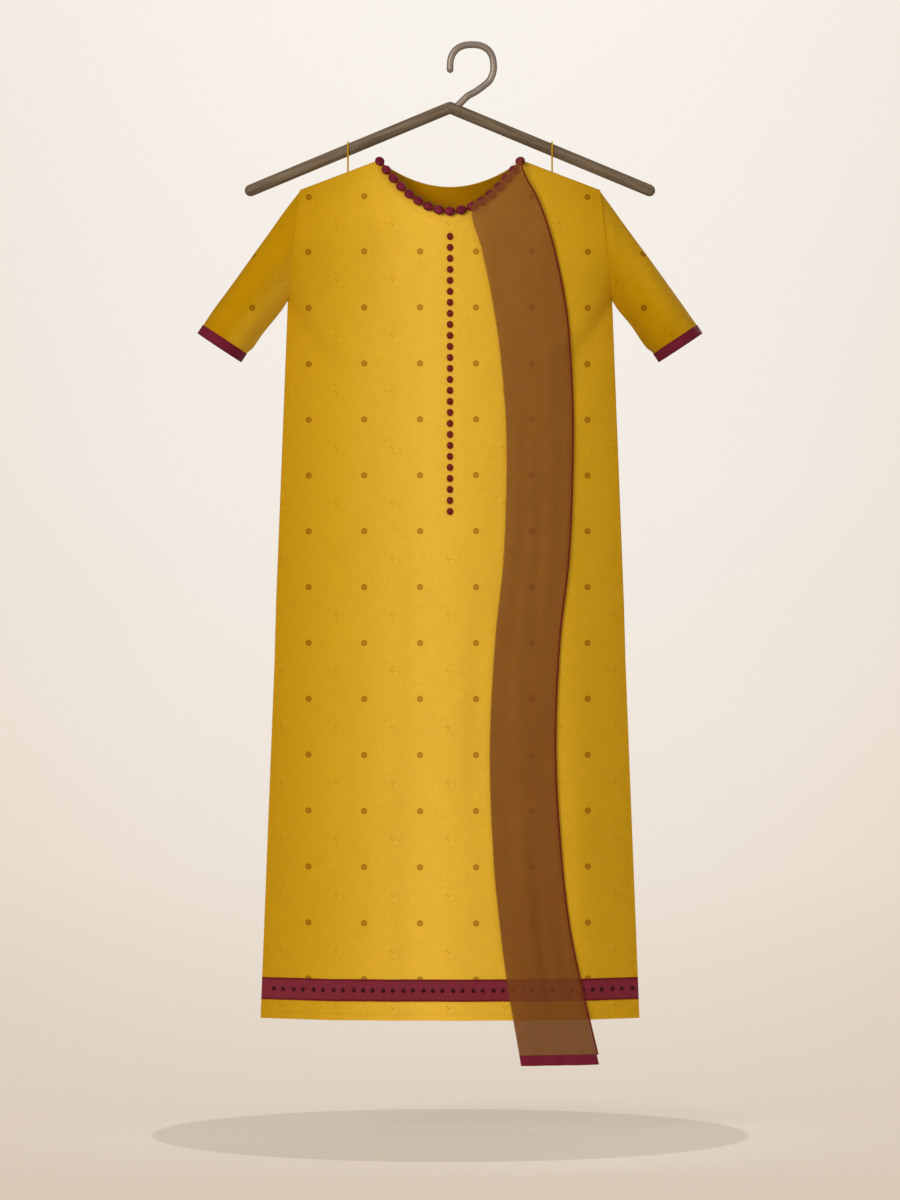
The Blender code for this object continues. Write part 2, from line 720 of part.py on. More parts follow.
def build():
    clear_scene()
    parts = collection("kameez_with_dupatta_on_hanger")
    cutters = collection("cutters")

    panel("front_panel", front_y, FRONT_NECK_DEPTH, 1, parts)
    panel("back_panel", back_y, BACK_NECK_DEPTH, -1, parts)
    for side, word in ((-1, "left"), (1, "right")):
        sleeve("sleeve_" + word, side, parts)
        cuff("cuff_band_" + word, side, parts)
    hem_band("hem_band_front", front_y, 1, parts)
    hem_band("hem_band_back", back_y, -1, parts)
    bead_strand("neck_beads", parts)
    for i in range(BUTTONS):
        button(f"button_{i + 1:02d}", BUTTON_FIRST_DROP + BUTTON_PITCH * i, parts)

    front_fall("dupatta_front_fall", parts)
    inner_fall("dupatta_inner_fall", parts)
    end_band("dupatta_end_band", parts)
    piping("dupatta_selvedge", parts)

    arm("hanger_arm_left", -1, parts)
    right_arm = arm("hanger_arm_right", 1, parts)
    bore(right_arm, cutters)
    hook("hanger_hook", parts)
    for side, word in ((-1, "left"), (1, "right")):
        loop("hanger_loop_" + word, side * LOOP_X, parts)


build()
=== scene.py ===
"""The looks of a gold printed kameez and its sheer dupatta, hung from a wooden hanger.

Metres, +Z up, the front faces -Y. The origin is the inside top of the hanger's hook.
The cloth pieces are thin shells on the forms of their solids: the same widths, necklines
and depths, with the folds, drag creases and small unevenness of hung cotton added.
"""

import json
import logging
import math
from bisect import bisect_right
from contextlib import contextmanager
from dataclasses import dataclass
from enum import Enum
from itertools import repeat
from typing import Callable, Iterable, Iterator, Optional, Sequence

import bpy
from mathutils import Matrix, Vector, noise

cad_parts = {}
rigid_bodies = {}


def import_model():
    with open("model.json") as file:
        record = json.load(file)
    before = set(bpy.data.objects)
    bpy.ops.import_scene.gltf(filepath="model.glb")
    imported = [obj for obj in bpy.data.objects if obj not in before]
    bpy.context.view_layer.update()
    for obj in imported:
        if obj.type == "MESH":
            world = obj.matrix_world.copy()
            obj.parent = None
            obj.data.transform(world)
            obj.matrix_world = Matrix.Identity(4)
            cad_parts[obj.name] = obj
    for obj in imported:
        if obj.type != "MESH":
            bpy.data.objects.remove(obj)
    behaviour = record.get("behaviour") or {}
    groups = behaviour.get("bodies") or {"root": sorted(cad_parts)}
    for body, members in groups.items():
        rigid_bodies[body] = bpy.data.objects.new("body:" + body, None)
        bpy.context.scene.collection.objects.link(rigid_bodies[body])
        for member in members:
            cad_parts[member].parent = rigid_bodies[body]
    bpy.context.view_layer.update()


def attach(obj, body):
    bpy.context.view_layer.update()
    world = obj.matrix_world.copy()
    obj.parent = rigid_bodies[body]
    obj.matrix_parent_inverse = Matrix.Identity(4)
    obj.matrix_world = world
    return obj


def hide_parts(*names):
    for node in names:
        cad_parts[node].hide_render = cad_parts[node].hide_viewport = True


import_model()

LOG = logging.getLogger("kameez")
BODY = "root"
# points of one mesh that lie closer than this are merged
APART = 0.00001
CORD_APART = 0.000001
# a sine smaller than this is a sleeve's very edge
EDGE_ON = 1e-6
# a face looks along an axis where its normal reaches this
FACING = 0.9

Item = bpy.types.Object
Node = bpy.types.Node
Plug = bpy.types.NodeSocket
Plugs = bpy.types.bpy_prop_collection
Tree = bpy.types.NodeTree
Colour = Triple = tuple[float, float, float]
Pair = tuple[float, float]
Place = Callable[[int, int], Vector]
Print = Callable[[int, int], Pair]
Mark = Callable[[int, int], float]


class Side(Enum):
    """One of two sides; the value is its direction along an axis."""

    @property
    def word(self) -> str:
        """The side's name in lower case."""
        return self.name.lower()


class Face(Side):
    """A body panel; the value is its direction along Y."""

    FRONT = -1
    BACK = 1


class Hand(Side):
    """A side as seen from the front; the value is its direction along X."""

    LEFT = -1
    RIGHT = 1


class Held(Enum):
    """How a sheet of cloth is held."""

    HUNG = "hung"
    DRAPED = "draped"


# ---- small sums ----


def smooth(share: float) -> float:
    """An even S from 0 to 1, flat beyond both."""
    share = min(max(share, 0.0), 1.0)
    return share * share * (3 - 2 * share)


def blend(a: float, b: float, share: float) -> float:
    """The value a share of the way from a to b."""
    return a + (b - a) * share


def spaced(a: float, b: float, gaps: int) -> list[float]:
    """Even places from a to b, both included, with this many gaps between them."""
    return [blend(a, b, k / gaps) for k in range(gaps + 1)]


def curve_through(rows: Sequence[Sequence[float]], at: float) -> list[float]:
    """A smooth line through a table.

    Args:
        rows: each row's place, then its values, in rising order of place.
        at: the place to read.

    Returns:
        The values there.
    """
    at = min(max(at, rows[0][0]), rows[-1][0])
    k = max(i for i in range(len(rows) - 1) if rows[i][0] <= at)
    low, high = rows[k], rows[k + 1]
    before, after = rows[max(k - 1, 0)], rows[min(k + 2, len(rows) - 1)]
    span = high[0] - low[0]
    t = (at - low[0]) / span
    values = []
    for c in range(1, len(low)):
        start = (high[c] - before[c]) / (high[0] - before[0]) * span
        end = (after[c] - low[c]) / (after[0] - low[0]) * span
        values.append((2 * t**3 - 3 * t**2 + 1) * low[c] + (t**3 - 2 * t**2 + t) * start
                      + (3 * t**2 - 2 * t**3) * high[c] + (t**3 - t**2) * end)
    return values


def along_table(table: Sequence[Sequence[float]], share: float) -> list[float]:
    """The values a share of the way down a table of even rows, on a smooth line."""
    return curve_through([(k / (len(table) - 1), *row) for k, row in enumerate(table)], share)


def even_steps(points: Sequence[Sequence[float]], count: int) -> list[Vector]:
    """Evenly spaced points on a smooth line.

    Args:
        points: the points that the line goes through.
        count: how many to return, ends included.

    Returns:
        The points, as vectors of the same number of values.
    """
    rows = [(i, *p) for i, p in enumerate(points)]
    steps = 20 * len(points)
    fine = [Vector(curve_through(rows, (len(points) - 1) * i / steps)) for i in range(steps + 1)]
    lengths = [0.0]
    for a, b in zip(fine, fine[1:]):
        lengths.append(lengths[-1] + (b - a).length)
    even, k = [], 0
    for i in range(count):
        goal = lengths[-1] * i / (count - 1)
        while k < steps - 1 and lengths[k + 1] < goal:
            k += 1
        even.append(fine[k].lerp(fine[k + 1], (goal - lengths[k]) / (lengths[k + 1] - lengths[k])))
    return even


# ---- the kameez's form ----


@dataclass(frozen=True)
class Fold:
    """A soft fold down a panel: its place, half width and height at the hem."""

    place: float
    width: float
    height: float


@dataclass(frozen=True)
class Crease:
    """A soft ridge from one place on a panel to another; a height below 0 is a trough."""

    x: float
    drop: float
    to_x: float
    to_drop: float
    width: float
    height: float

    def at(self, x: float, drop: float) -> float:
        """The crease's height at a place.

        Args:
            x: place across.
            drop: place down.

        Returns:
            The height, none beyond the crease's ends.
        """
        run = Vector((self.to_x - self.x, self.to_drop - self.drop))
        off = Vector((x - self.x, drop - self.drop))
        share = off.dot(run) / run.length_squared
        if not 0 < share < 1:
            return 0.0
        apart = abs(run.x * off.y - run.y * off.x) / run.length
        return self.height * math.sin(math.pi * share) * math.exp(-((apart / self.width) ** 2))


FRONT_FOLDS = tuple(Fold(*row) for row in (
    (-0.148, 0.028, 0.0086), (-0.112, 0.012, 0.0022), (-0.078, 0.022, 0.0068),
    (-0.036, 0.012, 0.002), (0.012, 0.028, 0.0058), (0.054, 0.012, 0.0018),
    (0.096, 0.024, 0.0068), (0.132, 0.011, 0.0022), (0.166, 0.026, 0.008),
))
BACK_FOLDS = tuple(Fold(*row) for row in (
    (-0.16, 0.026, 0.0104), (-0.126, 0.012, 0.003), (-0.092, 0.025, 0.0098),
    (-0.048, 0.012, 0.0028), (-0.01, 0.023, 0.0088), (0.03, 0.012, 0.002),
    (0.07, 0.025, 0.01), (0.108, 0.012, 0.0028), (0.142, 0.027, 0.011),
))
FRONT_CREASES = tuple(Crease(*row) for row in (
    (-0.128, 0.016, -0.104, 0.19, 0.014, 0.0022), (0.128, 0.016, 0.108, 0.18, 0.014, 0.002),
    (-0.112, 0.03, -0.06, 0.15, 0.01, -0.0014), (0.112, 0.03, 0.066, 0.16, 0.01, -0.0014),
    (-0.199, 0.176, -0.096, 0.27, 0.011, 0.0026), (-0.201, 0.192, -0.12, 0.33, 0.013, -0.002),
    (0.199, 0.178, 0.104, 0.262, 0.011, 0.0024), (0.201, 0.196, 0.128, 0.35, 0.013, -0.002),
    (-0.03, 0.066, -0.052, 0.17, 0.009, 0.0012), (0.018, 0.068, 0.03, 0.16, 0.009, -0.001),
    (-0.15, 0.42, -0.1, 0.7, 0.012, -0.0016), (0.04, 0.52, 0.02, 0.9, 0.014, -0.0018),
))
BACK_CREASES = tuple(Crease(*row) for row in (
    (-0.128, 0.016, -0.1, 0.2, 0.015, 0.0024), (0.128, 0.016, 0.098, 0.21, 0.015, 0.0022),
    (-0.199, 0.18, -0.09, 0.28, 0.012, 0.0026), (0.199, 0.176, 0.1, 0.27, 0.012, 0.0024),
    (-0.04, 0.046, 0.036, 0.058, 0.012, -0.0014), (0.06, 0.3, 0.04, 0.64, 0.014, -0.0018),
    (-0.12, 0.38, -0.13, 0.76, 0.013, -0.0018),
))


@dataclass(frozen=True)
class KameezForm:
    """Every size that gives the kameez its shape, and the shape itself.

    A place on it is given by x, across from its middle, and drop, down from its neck points.
    """

    centre_x: float = -0.0275
    neck_z: float = -0.1415
    neck_half_width: float = 0.09
    front_neck_depth: float = 0.0666
    back_neck_depth: float = 0.032
    shoulder_half_width: float = 0.1875
    shoulder_drop: float = 0.037
    underarm_half_width: float = 0.2025
    underarm_drop: float = 0.1744
    hem_half_width: float = 0.2375
    length: float = 1.0744
    chest_half_depth: float = 0.038
    hem_half_depth: float = 0.05
    shoulder_rounding: float = 0.09
    section_power: float = 2.6
    armhole_share: float = 0.92
    # how fast the armhole's depth gives way down the side, and how much faster at the middle
    armhole_power: float = 0.75
    armhole_more: float = 1.6
    slit_drop: float = 0.62
    slit_half_gap: float = 0.003
    fold_start: float = 0.2
    armhole_fade: float = 0.3
    seam_edge: float = 0.0009
    # folds and swellings fade out towards the side seams, and over a drop at the top edge
    free_power: int = 6
    free_drop: float = 0.04
    # the cloth's small swellings: how many across and down to a metre, and their height
    broad_swell: Triple = (17, 3.6, 0.002)
    fine_swell: Triple = (52, 13, 0.0005)
    # how far apart in the noise the two panels lie, and the two swellings
    swells_apart: Pair = (3.7, 9)
    # the cuff seam's upper and lower end: place across, and drop
    sleeve_outer: Pair = (0.3096, 0.206)
    sleeve_inner: Pair = (0.2553, 0.2419)
    cuff_half_depth: float = 0.04

    def world(self, x: float, y: float, drop: float) -> Vector:
        """A point given from the garment's middle and below its neck points."""
        return Vector((self.centre_x + x, y, self.neck_z - drop))

    def half_width(self, drop: float) -> float:
        """Half the body's width at a drop."""
        if drop <= self.shoulder_drop:
            return self.shoulder_half_width
        if drop <= self.underarm_drop:
            share = (drop - self.shoulder_drop) / (self.underarm_drop - self.shoulder_drop)
            return blend(self.shoulder_half_width, self.underarm_half_width, share)
        share = (drop - self.underarm_drop) / (self.length - self.underarm_drop)
        return blend(self.underarm_half_width, self.hem_half_width, share)

    def shoulder_at(self, x: float) -> float:
        """Drop of the shoulder line, level across the neck."""
        out = max(abs(x) - self.neck_half_width, 0.0)
        return self.shoulder_drop * out / (self.shoulder_half_width - self.neck_half_width)

    def top_at(self, x: float, face: Face) -> float:
        """Drop of a panel's top edge: its neckline, then its shoulder seam."""
        if abs(x) < self.neck_half_width:
            deep = self.front_neck_depth if face is Face.FRONT else self.back_neck_depth
            return deep * (1 - (x / self.neck_half_width) ** 2)
        return self.shoulder_at(x)

    def unevenness(self, x: float, drop: float, face: Face) -> float:
        """Small soft swellings, longer down the cloth than across it."""
        by_panel, by_swell = self.swells_apart
        return sum(height * noise.noise(Vector((x * across, drop * down,
                                                by_panel * face.value + by_swell * k)))
                   for k, (across, down, height) in enumerate((self.broad_swell,
                                                               self.fine_swell)))

    def depth(self, x: float, drop: float, face: Face) -> float:
        """How far a panel's outer face stands off the side seams' plane.

        Args:
            x: place across.
            drop: place down.
            face: the panel.

        Returns:
            The distance along Y, never negative.
        """
        across = min(abs(x) / self.half_width(drop), 1.0)
        below = max(drop - self.shoulder_at(x), 0.0)
        out = math.sin(math.pi / 2 * min(below / self.shoulder_rounding, 1.0))
        full = blend(self.chest_half_depth, self.hem_half_depth,
                     smooth((drop - self.underarm_drop) / self.length))
        reach = self.underarm_drop - self.shoulder_drop + self.armhole_fade * (1 - across)
        share = min(max(drop - self.shoulder_drop, 0.0) / reach, 1.0)
        power = self.armhole_power + self.armhole_more * (1 - across)
        armhole = self.armhole_share * (1 - share**2) ** power
        bulge = armhole + (1 - armhole) * (1 - across**self.section_power)
        slit = self.slit_half_gap * smooth((drop - self.slit_drop) / (self.length - self.slit_drop))
        grown = smooth((drop - self.fold_start) / (self.length - self.fold_start))
        spread = self.half_width(drop) / self.hem_half_width
        folds, creases = ((FRONT_FOLDS, FRONT_CREASES) if face is Face.FRONT
                          else (BACK_FOLDS, BACK_CREASES))
        wave = grown * sum(f.height * math.exp(-(((x / spread) - f.place) / f.width) ** 2)
                           for f in folds)
        wave += sum(c.at(x, drop) for c in creases)
        wave += self.unevenness(x, drop, face)
        free = (1 - across**self.free_power) * smooth(below / self.free_drop)
        return self.seam_edge + slit + (full - self.seam_edge) * out * bulge + wave * free

    def on(self, x: float, drop: float, face: Face, lift: float = 0.0) -> Vector:
        """A point on a panel's outer face, or lifted off it along Y."""
        return self.world(x, face.value * (self.depth(x, drop, face) + lift), drop)

    def outward(self, x: float, drop: float, face: Face) -> Vector:
        """The way straight out of a panel's face."""
        step = 0.0015
        across = self.on(x + step, drop, face) - self.on(x - step, drop, face)
        down = self.on(x, drop + step, face) - self.on(x, drop, face)
        out = across.cross(down).normalized()
        return out if out.y * face.value > 0 else -out

    def sleeve_point(self, hand: Hand, share: float, angle: float, lift: float = 0.0,
                     beyond: float = 0.0) -> Vector:
        """A point on a sleeve.

        Args:
            hand: the side.
            share: from the armhole, 0, to the cuff, 1.
            angle: round the sleeve, 0 at its upper edge and a quarter turn at its back.
            lift: how far out of the sleeve's face.
            beyond: how far past the cuff seam.

        Returns:
            The point in the frame.
        """
        upper = Vector((blend(self.shoulder_half_width, self.sleeve_outer[0], share),
                        blend(self.shoulder_drop, self.sleeve_outer[1], share)))
        under = Vector((blend(self.underarm_half_width, self.sleeve_inner[0], share),
                        blend(self.underarm_drop, self.sleeve_inner[1], share)))
        along = (upper - under).normalized()
        out = Vector((-along.y, along.x))
        if out.x < 0:
            out = -out
        reach = (upper - under).length / 2
        drop = blend(self.shoulder_drop, self.underarm_drop, (1 - math.cos(angle)) / 2)
        armhole = self.depth(self.half_width(drop), drop, Face.FRONT) - self.seam_edge
        side = math.copysign(1, math.sin(angle)) if abs(math.sin(angle)) > EDGE_ON else 0
        depth = blend(armhole * side, self.cuff_half_depth * math.sin(angle), smooth(share))
        spot = (upper + under) / 2 + out * beyond + along * (reach + lift) * math.cos(angle)
        depth += lift * math.sin(angle)
        return self.world(hand.value * spot.x, depth, spot.y)


# ---- making meshes ----


def select_only(*items: Item) -> None:
    """Select these objects and nothing else; the first becomes active."""
    for other in bpy.context.view_layer.objects:
        other.select_set(False)
    for item in items:
        item.select_set(True)
    bpy.context.view_layer.objects.active = items[0] if items else None


@contextmanager
def editing(item: Item, whole: bool = False) -> Iterator[None]:
    """Edit mode on one object, and object mode again after it.

    Args:
        item: the object.
        whole: whether all of its mesh is selected first.
    """
    select_only(item)
    bpy.ops.object.mode_set(mode="EDIT")
    if whole:
        bpy.ops.mesh.select_all(action="SELECT")
    yield
    bpy.ops.object.mode_set(mode="OBJECT")


def pick_faces(item: Item, wanted: Callable[[bpy.types.MeshPolygon], bool]) -> None:
    """Select the faces that are wanted, for the next edit."""
    for face in item.data.polygons:
        face.select = wanted(face)


def named(item: Item, name: str) -> Item:
    """Name an object and its mesh."""
    item.name = name
    item.data.name = name
    return item


def new_object(name: str, data: bpy.types.ID) -> Item:
    """A new object in the scene."""
    item = bpy.data.objects.new(name, data)
    bpy.context.scene.collection.objects.link(item)
    return item


def started(name: str, add: Callable[..., set], **settings: object) -> Item:
    """A primitive to shape, with its place in its mesh."""
    select_only()
    add(**settings)
    item = named(bpy.context.object, name)
    bpy.ops.object.transform_apply(location=True, rotation=True, scale=True)
    return item


def apply(item: Item, kind: str, **settings: object) -> None:
    """Add a modifier and apply it."""
    select_only(item)
    modifier = item.modifiers.new(kind.lower(), kind)
    for key, value in settings.items():
        setattr(modifier, key, value)
    bpy.ops.object.modifier_apply(modifier=modifier.name)


def lay_map(item: Item, at: Callable[[int, Vector], Pair]) -> None:
    """Lay a mesh's flat map.

    Args:
        item: the mesh object.
        at: gives the place on the map of a point, from its number and its place.
    """
    mesh = item.data
    flat = mesh.uv_layers.active or mesh.uv_layers.new(name="UVMap")
    for corner in mesh.loops:
        k = corner.vertex_index
        flat.data[corner.index].uv = at(k, mesh.vertices[k].co)


def sheet_of(name: str, columns: int, rows: int, place: Place, print_at: Print,
             **marks: Mark) -> Item:
    """A sheet of cloth: a grid whose points are carried to their places.

    Args:
        name: the piece's name.
        columns: faces across.
        rows: faces down.
        place: gives the point at a column and a row, row 0 at the top.
        print_at: gives the place on the flat cloth, in metres, for its print.
        marks: numbers kept on the mesh by name, such as the painted shade, from 0, light, to 1,
            deep.

    Returns:
        The open sheet.
    """
    item = started(name, bpy.ops.mesh.primitive_grid_add, x_subdivisions=columns,
                   y_subdivisions=rows, size=1.0)
    spots = [(round((v.co.x + 0.5) * columns), round((0.5 - v.co.y) * rows))
             for v in item.data.vertices]
    lay_map(item, lambda k, _: print_at(*spots[k]))
    for mark, value_at in marks.items():
        marked(item, mark, [value_at(*spot) for spot in spots])
    for vertex, spot in zip(item.data.vertices, spots):
        vertex.co = place(*spot)
    return item


def weld(item: Item, apart: float = APART) -> None:
    """Merge the points of a mesh that lie together, and turn its faces outward."""
    with editing(item, whole=True):
        bpy.ops.mesh.remove_doubles(threshold=apart)
        bpy.ops.mesh.normals_make_consistent(inside=False)


def give_wall(item: Item, wall: float, inward: bool = True,
              lined: bool = False) -> None:
    """Give an open sheet its thickness.

    Args:
        item: the sheet.
        wall: its thickness.
        inward: whether the wall grows against the faces' direction.
        lined: whether its inner face takes the next material.
    """
    for _ in range(2 if lined else 0):
        item.data.materials.append(None)
    apply(item, "SOLIDIFY", thickness=wall, offset=-1.0 if inward else 1.0,
          material_offset=1 if lined else 0)
    shade_smooth(item)


def shade_smooth(item: Item, angle: float = 42.0) -> None:
    """Shade smooth, with edges sharper than an angle in degrees kept."""
    select_only(item)
    bpy.ops.object.shade_smooth_by_angle(angle=math.radians(angle))


def cord_along(name: str, points: Sequence[Vector], radius: float, closed: bool = False,
               resolution: int = 2, radii: Optional[Sequence[float]] = None
               ) -> Item:
    """A round cord or tube along points, as a mesh.

    Args:
        name: the piece's name.
        points: the centreline.
        radius: the cord's radius.
        closed: whether its ends meet.
        resolution: the bevel's resolution.
        radii: each point's share of the radius.

    Returns:
        The mesh object.
    """
    line = bpy.data.curves.new(name, "CURVE")
    line.dimensions = "3D"
    line.bevel_depth = radius
    line.bevel_resolution = resolution
    line.use_fill_caps = not closed
    spline = line.splines.new("POLY")
    spline.points.add(len(points) - 1)
    for i, point in enumerate(points):
        spline.points[i].co = (*point, 1.0)
        spline.points[i].radius = radii[i] if radii else 1.0
    spline.use_cyclic_u = closed
    select_only(new_object(name, line))
    bpy.ops.object.convert(target="MESH")
    item = named(bpy.context.object, name)
    weld(item, CORD_APART)
    shade_smooth(item)
    return item


def marked(item: Item, name: str, values: Iterable[float]) -> None:
    """Keep a number on each point of a mesh, under a name."""
    kept = item.data.attributes.new(name, "FLOAT", "POINT")
    for entry, value in zip(kept.data, values):
        entry.value = value


def joined(name: str, items: Sequence[Item]) -> Item:
    """Join objects into one."""
    select_only(*items)
    bpy.ops.object.join()
    return named(bpy.context.object, name)


def carried(item: Item, place: Callable[[Vector], Vector]) -> Item:
    """Carry each point of a mesh to its place, with the object left at the origin."""
    item.location = (0, 0, 0)
    item.rotation_euler = (0, 0, 0)
    item.scale = (1, 1, 1)
    for vertex in item.data.vertices:
        vertex.co = place(vertex.co)
    return item


class Route:
    """A line over the cloth that repeats are laid along."""

    def __init__(self, points: Sequence[Vector], outs: Sequence[Vector]) -> None:
        """Keep the points, the way out of the cloth at each, and their distances.

        Args:
            points: the line.
            outs: the way out of the cloth at each point.
        """
        self.points, self.outs = list(points), list(outs)
        self.marks = [0.0]
        for a, b in zip(self.points, self.points[1:]):
            self.marks.append(self.marks[-1] + (b - a).length)

    @property
    def length(self) -> float:
        """The line's length."""
        return self.marks[-1]

    def frame(self, at: float) -> tuple[Vector, Vector, Vector]:
        """The line at a distance along it."""
        at = min(max(at, 0.0), self.length)
        k = max(min(bisect_right(self.marks, at) - 1, len(self.points) - 2), 0)
        share = (at - self.marks[k]) / (self.marks[k + 1] - self.marks[k])
        along = (self.points[k + 1] - self.points[k]).normalized()
        out = self.outs[k].lerp(self.outs[k + 1], share)
        out = (out - along * out.dot(along)).normalized()
        return self.points[k].lerp(self.points[k + 1], share), out.cross(along), out


def laid_along(item: Item, route: Route, pitch: float, start: float = 0.0,
               spots: Sequence[float] = ()) -> Item:
    """Repeat a pattern piece along a route.

    Args:
        item: one repeat, lying along X at the origin with +Z away from the cloth.
        route: the line that the repeats follow.
        pitch: about the distance from each to the next, evened out over the line.
        start: the first one's distance from the line's start, and the last one's from its end.
        spots: each one's distance along the line, where they aren't laid evenly.

    Returns:
        The row, as one object.
    """
    if not spots:
        gaps = round((route.length - 2 * start) / pitch)
        spots = [blend(start, route.length - start, k / gaps) for k in range(gaps + 1)]
    apply(item, "ARRAY", count=len(spots), use_relative_offset=False,
          use_constant_offset=True, constant_offset_displace=(pitch, 0.0, 0.0))

    def onto(spot: Vector) -> Vector:
        """Place on the route of a point of the straight row."""
        k = round(spot.x / pitch)
        middle, side, out = route.frame(spots[k] + spot.x - k * pitch)
        return middle + side * spot.y + out * spot.z

    return carried(item, onto)


def copy_of(item: Item, name: str) -> Item:
    """A copy with a mesh of its own."""
    return named(new_object(name, item.data.copy()), name)


def dress(item: Item, finish: "Finish", slot: str, *nodes: str,
          reverse: Optional["Finish"] = None) -> Item:
    """Give a piece its finish and body, and hide the solids that it stands for.

    Args:
        item: the piece.
        finish: its finish.
        slot: the record's slot that the finish stands for; not used.
        nodes: the solids that it stands for.
        reverse: the finish of its inner face.

    Returns:
        The piece.
    """
    sides = [face.material_index for face in item.data.polygons]
    item.data.materials.clear()
    item.data.materials.append(finish.material())
    if reverse:
        item.data.materials.append(reverse.material())
        for face, side in zip(item.data.polygons, sides):
            face.material_index = side
    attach(item, BODY)
    if nodes:
        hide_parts(*nodes)
    LOG.info("%s: %d faces", item.name, len(item.data.polygons))
    return item


# ---- shader writing ----


class Shades:
    """Writes nodes into one node tree."""

    def __init__(self, tree: Tree) -> None:
        """Keep the tree that nodes go into."""
        self.tree = tree

    def node(self, kind: str, *values: object, **settings: object) -> Node:
        """Add a node.

        Args:
            kind: the node's type.
            values: what its first inputs take, in their order.
            settings: its properties by name.

        Returns:
            The node.
        """
        made = self.tree.nodes.new(kind)
        for key, value in settings.items():
            setattr(made, key, value)
        for socket, value in zip(made.inputs, values):
            self.feed(socket, value)
        return made

    def feed(self, socket: Plug, value: object) -> None:
        """Link a socket into another, or set a plain value on it.

        Args:
            socket: the input.
            value: the socket or the value; a colour gets its alpha here.
        """
        if isinstance(value, Plug):
            self.tree.links.new(value, socket)
        elif socket.type == "RGBA":
            socket.default_value = (*value, 1.0)
        else:
            socket.default_value = value

    def fill(self, node: Node, values: dict[str, object]) -> Node:
        """Feed a node's inputs by name."""
        for name, value in values.items():
            self.feed(node.inputs[name], value)
        return node

    def math(self, operation: str, *values: object, clamp: bool = False) -> Plug:
        """A Math node's result."""
        return self.node("ShaderNodeMath", *values, operation=operation, use_clamp=clamp).outputs[0]

    def vector(self, operation: str, *values: object) -> Plug:
        """A Vector Math node's vector."""
        return self.node("ShaderNodeVectorMath", *values, operation=operation).outputs[0]

    def length(self, value: object) -> Plug:
        """A vector's length."""
        return self.node("ShaderNodeVectorMath", value, operation="LENGTH").outputs["Value"]

    def split(self, value: object) -> list[Plug]:
        """A vector's X, Y and Z."""
        return list(self.node("ShaderNodeSeparateXYZ", value).outputs)

    def between(self, value: object, low: float, high: float, to_low: float = 0.0,
                to_high: float = 1.0, kind: str = "SMOOTHSTEP") -> Plug:
        """A step of a value between two limits, from what it gives at one to the other."""
        return self.node("ShaderNodeMapRange", value, low, high, to_low, to_high,
                         interpolation_type=kind).outputs[0]

    def mix(self, factor: object, a: object, b: object, kind: str = "MIX") -> Plug:
        """Two colours mixed, with the factor of the second."""
        made = self.node("ShaderNodeMix", factor, data_type="RGBA", blend_type=kind)
        self.feed(made.inputs[6], a)
        self.feed(made.inputs[7], b)
        return made.outputs[2]

    def noise(self, where: object, scale: float, detail: float = 2.0,
              roughness: float = 0.5) -> Plug:
        """Noise from 0 to 1, with so many swells to a metre."""
        return self.fill(self.node("ShaderNodeTexNoise"), {
            "Vector": where, "Scale": scale, "Detail": detail, "Roughness": roughness}).outputs[0]

    def streaks(self, where: object, stretch: Sequence[float], *noise: float
                ) -> Plug:
        """Noise drawn out along the axes whose stretch is below 1."""
        return self.noise(self.vector("MULTIPLY", where, stretch), *noise)

    def group(self, tree: Tree, **values: object) -> Node:
        """Place a node group with its own values."""
        return self.fill(self.node("ShaderNodeGroup", node_tree=tree), values)

    def attribute(self, name: str) -> Plug:
        """A number kept on the mesh."""
        return self.node("ShaderNodeAttribute", attribute_name=name).outputs["Fac"]

    def flat_cloth(self) -> Plug:
        """The place on the flat cloth, in metres."""
        return self.node("ShaderNodeUVMap").outputs[0]

    def place(self) -> Plug:
        """The place on the object."""
        return self.node("ShaderNodeTexCoord").outputs["Object"]


def group_tree(name: str, inputs: dict[str, Optional[float]],
               outputs: dict[str, Optional[float]], write: Callable[[Shades, dict], dict]) -> Tree:
    """A shader node group, made once.

    Args:
        name: the group's name.
        inputs: its inputs by name, each with its usual value, or None for a vector.
        outputs: its outputs, likewise.
        write: takes the writer and the inputs by name, and gives the outputs by name.

    Returns:
        The group's tree.
    """
    found = bpy.data.node_groups.get(name)
    if found:
        return found
    tree = bpy.data.node_groups.new(name, "ShaderNodeTree")
    for way, sockets in (("INPUT", inputs), ("OUTPUT", outputs)):
        for socket, value in sockets.items():
            kind = "NodeSocketVector" if value is None else "NodeSocketFloat"
            made = tree.interface.new_socket(socket, in_out=way, socket_type=kind)
            if value is not None:
                made.default_value = value
    shades = Shades(tree)
    given = shades.node("NodeGroupInput")
    results = write(shades, {socket: given.outputs[socket] for socket in inputs})
    shades.fill(shades.node("NodeGroupOutput"), results)
    return tree


# a slub's width over its length, how many there are to a metre, and their fine layers
SLUB_WIDTH, SLUB_SCALE, SLUB_DETAIL = 0.07, 900.0, 3.0
# how much of the weave's height is slubs, and how much the threads' round crowns
SLUB_HEIGHT, CROWN_HEIGHT = 0.5, 0.6
# where the weave's height mostly lies, and where the sum of two noises does
WEAVE_SPAN = (0.2, 1.2)
TWO_NOISES = (0.7, 1.3)
# the middle of one noise, and most of it
MID_NOISE = (0.35, 0.65)
MOST_NOISE = (0.3, 0.7)
# the scale and detail of the broad and the small patches of fading
FADING = ((7.0, 2.0), (46.0, 3.0))
EVEN_TONE = (-1.0, 1.0)


